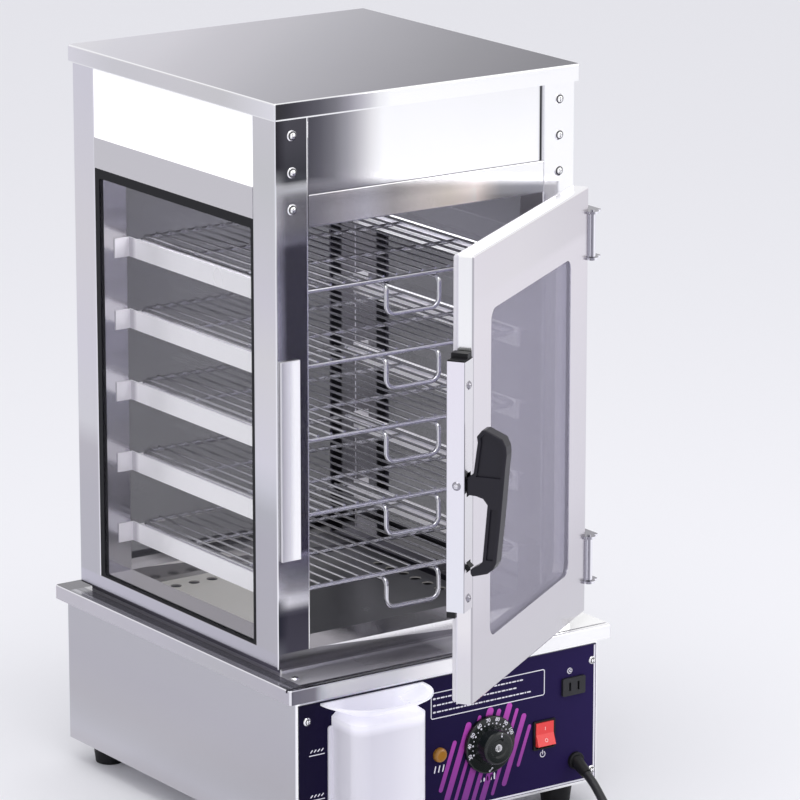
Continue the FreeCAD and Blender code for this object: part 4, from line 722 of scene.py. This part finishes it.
# Racks: five grids of chromed wire with their drop pulls, on folded steel rails between the posts.
# The rails carry painted shade, darker towards the back of their left faces, and an even painted glow.
rail_steel = polished_sheet("rack_rail_sheet", "#e0dde4", [
    (left, ahead, (-0.29, 0.05), [(0.0, "#9c98a3"), (0.12, "#a5a1ac"), (0.14, "#fbfafd"), (1.0, "#ffffff")]),
], roughness=0.3, metallic=0.3)
wear(lit(rail_steel, "#f2f0f8", 0.22), "rack_rails")
chrome = polished_sheet("chromed_rack_wire", "#d9d9de")
for number in "12345":
    wear(chrome, "rack_" + number, "rack_pull_" + number)

# Lid: one folded sheet over the posts, brightest at its back left corner, as the photograph shows it.
# The lid's top carries a painted reflection, dark at the front right and brightest at the back left; its
# sides carry painted reflections; its front carries a painted reflection, dark at the left end and white to
# the right, with painted highlights along its lower front edges and a painted glow on its right part.
lid_side_tones = [
    (0.0, "#f0eef3"), (0.238, "#e2e1e3"), (0.508, "#e2e0e2"), (0.778, "#dedddd"), (1.0, "#f3f2f6"),
]
lid_sheet = polished_sheet("lid_sheet", "#f8f8fb", [
    (upward, (-1, 1, 0), (-0.21, 0.46), [
        (0.0, "#615f68"), (0.093, "#75727b"), (0.182, "#838189"), (0.3, "#99979f"), (0.406, "#aaa8b0"),
        (0.526, "#bdbbc3"), (0.63, "#cfccd4"), (0.734, "#dbd8e0"), (0.824, "#eae7ef"),
        (0.928, "#f1eff7"), (1.0, "#fcfaff"),
    ]),
    *[(side, ahead, (-0.3, 0.07), lid_side_tones) for side in (left, right, behind)],
    (ahead, right, (-0.18, 0.18), [
        (0.0, "#3a393c"), (0.042, "#424146"), (0.083, "#514f56"), (0.139, "#626168"), (0.194, "#7f7e84"),
        (0.236, "#a09ea5"), (0.278, "#c5c3c9"), (0.306, "#dddcdf"), (0.333, "#f6f6f6"),
        (0.37, "#ffffff"),
    ]),
    (ahead, right, (-0.18, 0.18), even("#ffffff"), ((0, 0, -1), -0.7408, -0.7403)),
    (left, ahead, (-0.3, 0.07), even("#ffffff"), ((0, 0, -1), -0.7404, -0.7399)),
], glow=[
    (ahead, right, (-0.18, 0.18), [(0.0, "#000000"), (0.3, "#000000"), (0.38, "#5a5a5a"), (1.0, "#5a5a5a")]),
])
shader_of(lid_sheet).inputs["Specular Tint"].default_value = (0.7, 0.7, 0.72, 1.0)
wear(lid_sheet, "top_cap")

# Hinge brackets, strike plate and screws: bright steel. The brackets carry darker painted reflections on
# their front faces and tops; the strike plate carries a painted reflection, pale to the right, with a painted
# glow; the screw heads carry rings of painted reflection on their domes and painted shade in their crossed
# recesses.
hinge_front = (-0.604, -0.797, 0)
bright_steel = polished_sheet("bright_hinge_steel", "#f4f3f8", [
    (hinge_front, upward, (0.2, 0.7), even("#918f99")),
    (upward, right, (0.1, 0.3), even("#7c7a84")),
], roughness=0.2)
wear(bright_steel, "hinge_brackets")
strike_sheet = polished_sheet("strike_plate_sheet", "#dcdbe0", [
    (ahead, right, (-0.1736, -0.1512), [
        (0.0, "#bcbac1"), (0.2, "#d4d2d8"), (0.34, "#e3e2e6"), (0.47, "#eeedf1"), (0.61, "#ffffff"),
    ]),
], roughness=0.3, glow=[
    (ahead, right, (-0.1736, -0.1512), [
        (0.0, "#3c3c40"), (0.45, "#66666a"), (0.7, "#969696"), (1.0, "#9c9c9c"),
    ]),
], metallic=0.45)
wear(strike_sheet, "strike_plate")
screw_steel = polished_sheet("bright_screw_heads", "#f4f3f7", roughness=0.18)
tree = screw_steel.node_tree
normal = node(tree, "TexCoord").outputs["Normal"]
outward = node(tree, "Math", {"operation": "MAXIMUM"}, {
    0: dot(tree, normal, ahead), 1: dot(tree, normal, upward),
})
dome = tone_ramp(tree, outward.outputs[0], [
    (0.3, "#2c2b30"), (0.5, "#55545a"), (0.68, "#f8f7fb"), (0.79, "#f8f7fb"), (0.82, "#2e2d32"),
    (0.87, "#3a393e"), (0.92, "#ffffff"), (0.99, "#ffffff"), (1.0, "#e2e1e6"),
])
tree.links.new(dome, shader_of(screw_steel).inputs["Base Color"])
wear(screw_steel, "screws")

# Door: an outer pan and an inner pan with two panes between and behind them, and a white seal round its back.
# The front face is pale steel with painted reflections, a little darker low down and towards the hinge along
# its top, paler on its free-edge side and with painted shade on the bend there. The glass carries a violet
# tint of painted light, strongest at its hinge side.
door_open = math.radians(34)
door_way = (math.cos(door_open), math.sin(door_open), 0)
door_out = (math.sin(door_open), -math.cos(door_open), 0)
door_left = (-door_way[0], -door_way[1], 0)
door_bend = tuple((a + b) / math.sqrt(2) for a, b in zip(door_left, door_out))
door_sheet = polished_sheet("door_front_sheet", "#f0eff4", [
    (door_out, upward, (0.2, 0.64), [
        (0.0, "#cccace"), (0.16, "#cdc9cf"), (0.3, "#dad6dc"), (0.64, "#e6e2e7"), (0.82, "#ede8ec"),
        (1.0, "#efebef"),
    ]),
    (door_out, door_way, (-0.236, 0.091), [
        (0.0, "#ece7eb"), (0.37, "#ebe7e9"), (0.73, "#e5e1e4"), (1.0, "#e2dde1"),
    ], ((0, 0, 1), 0.588, 0.596)),
    (door_left, upward, (0.2, 0.64), [
        (0.0, "#dbdbdc"), (0.1, "#dedbe0"), (0.17, "#ebe8ea"), (0.6, "#f6f5f8"), (0.8, "#ffffff"),
    ]),
    (door_bend, upward, (0.2, 0.64), even("#b5b2b8")),
])
wear(door_sheet, "door_frame")
wear(polished_sheet("door_inner_sheet", "#e2e0e8", roughness=0.25), "door_inner_frame")
wear(bright_steel, "hinge_leaves")
wear(plain_stuff("white_silicone_seal", "#dcdae0", 0.45, 0.4, 0.02), "door_gasket")
# The door glass's violet tint, strongest at the hinge side, is painted light.
door_glass = pane("door_glass", "#8d88b4", 0.32, [
    (door_out, door_way, (0.0, 0.22), [(0.0, "#9f9bac"), (0.5, "#a099bd"), (1.0, "#8a80c8")]),
])
wear(door_glass, "door_glazing")

# Latch: a bright channel on the door's edge, the black nylon block in it, and the black lever handle.
# The channel's faces carry painted reflections, pale and lighter upwards; its darker base tone is left for
# the rounded heads of its screws as painted shade on their domes.
latch_sheet = polished_sheet("latch_bar_sheet", "#96949d", [
    (door_out, upward, (0.29, 0.54), [
        (0.0, "#d3d0d5"), (0.12, "#d7d3d8"), (0.4, "#dfdee1"), (0.72, "#e6e3e7"), (1.0, "#eae9eb"),
    ]),
    (door_left, upward, (0.29, 0.54), [(0.0, "#e8e9ef"), (1.0, "#f3eff8")]),
])
wear(latch_sheet, "latch_bar")
wear(plain_stuff("black_latch_nylon", "#1c1c1f", 0.45, 0.25), "latch_insert")
wear(plain_stuff("black_handle_nylon", "#1a1822", 0.36, 0.3), "handle")

# Power cord: three cores in one round black rubber sheath, 9 mm across and about 1.8 m long.
# It leaves the gland, drops in one bend to the floor and is put away there in a round coil with its plug.
cord_across = 0.009
cord_points = [
    (0.1542, -0.1318, 0.0418),
    (0.1542, -0.1397, 0.0376),
    (0.1543, -0.1466, 0.0324),
    (0.1544, -0.1533, 0.0262),
    (0.1546, -0.1602, 0.0196),
    (0.1549, -0.1678, 0.0142),
    (0.1552, -0.1761, 0.0101),
    (0.1555, -0.1852, 0.0071),
    (0.1558, -0.1954, 0.0053),
    (0.1560, -0.2074, 0.0046),
    (0.1559, -0.2214, 0.0045),
    (0.1554, -0.2364, 0.0045),
    (0.1547, -0.2514, 0.0045),
    (0.1542, -0.2654, 0.0045),
    (0.1542, -0.2780, 0.0045),
]

# The coil: two turns inwards on the floor, half a turn that climbs a layer, and two and a half turns
# outwards. The curve runs inside its points, so they lie further out than the cord's centre line.
coil_radius = 0.0595
coil_centre = (0.0947, -0.2780)
coil_pitch = 0.0097
turns_in = 2.0
turns_climbing = 0.5
turns_out = 2.5
points_per_turn = 16
outside = 1 / (0.75 + 0.25 * math.cos(2 * math.pi / points_per_turn))
inner_radius = coil_radius - coil_pitch * turns_in
for i in range(1, int((turns_in + turns_climbing + turns_out) * points_per_turn) + 1):
    turn = i / points_per_turn
    climb = min(max((turn - turns_in) / turns_climbing, 0.0), 1.0)
    if turn <= turns_in:
        r = coil_radius - coil_pitch * turn
    elif climb < 1.0:
        r = inner_radius - coil_pitch * climb * 0.5 + 0.5 * coil_pitch * climb ** 2
    else:
        r = inner_radius + coil_pitch * (turn - turns_in - turns_climbing)
    angle = -2 * math.pi * turn
    cord_points.append((
        coil_centre[0] + r * outside * math.cos(angle),
        coil_centre[1] + r * outside * math.sin(angle),
        cord_across / 2 + coil_pitch * (3 * climb ** 2 - 2 * climb ** 3),
    ))
last = cord_points[-1]
plug_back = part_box("power_plug")[1].y
cord_points.append((last[0], (last[1] + plug_back) / 2, last[2]))
cord_points.append((last[0], plug_back, last[2]))
cord_curve = bpy.data.curves.new("power_cord_sheath", "CURVE")
cord_curve.dimensions = "3D"
cord_curve.bevel_depth = cord_across / 2
cord_curve.bevel_resolution = 6
cord_curve.resolution_u = 8
line = cord_curve.splines.new("NURBS")
line.points.add(len(cord_points) - 1)
for point, place in zip(line.points, cord_points):
    point.co = (*place, 1.0)
line.order_u = 3
line.use_endpoint_u = True
power_cord = bpy.data.objects.new("power_cord_sheath", cord_curve)
bpy.context.collection.objects.link(power_cord)
cord_rubber, tree, shader = material("black_cord_rubber")
coords = node(tree, "TexCoord")
grain = node(tree, "TexNoise", None, {"Vector": coords.outputs["Object"], "Scale": 900.0, "Detail": 3.0})
dust = tone_ramp(tree, grain.outputs["Fac"], [(0.0, "#141418"), (1.0, "#26262b")])
tree.links.new(dust, shader.inputs["Base Color"])
shader.inputs["Roughness"].default_value = 0.42
cord_curve.materials.append(cord_rubber)
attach(power_cord, "cabinet")
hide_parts("power_cord", "power_cord_coil")
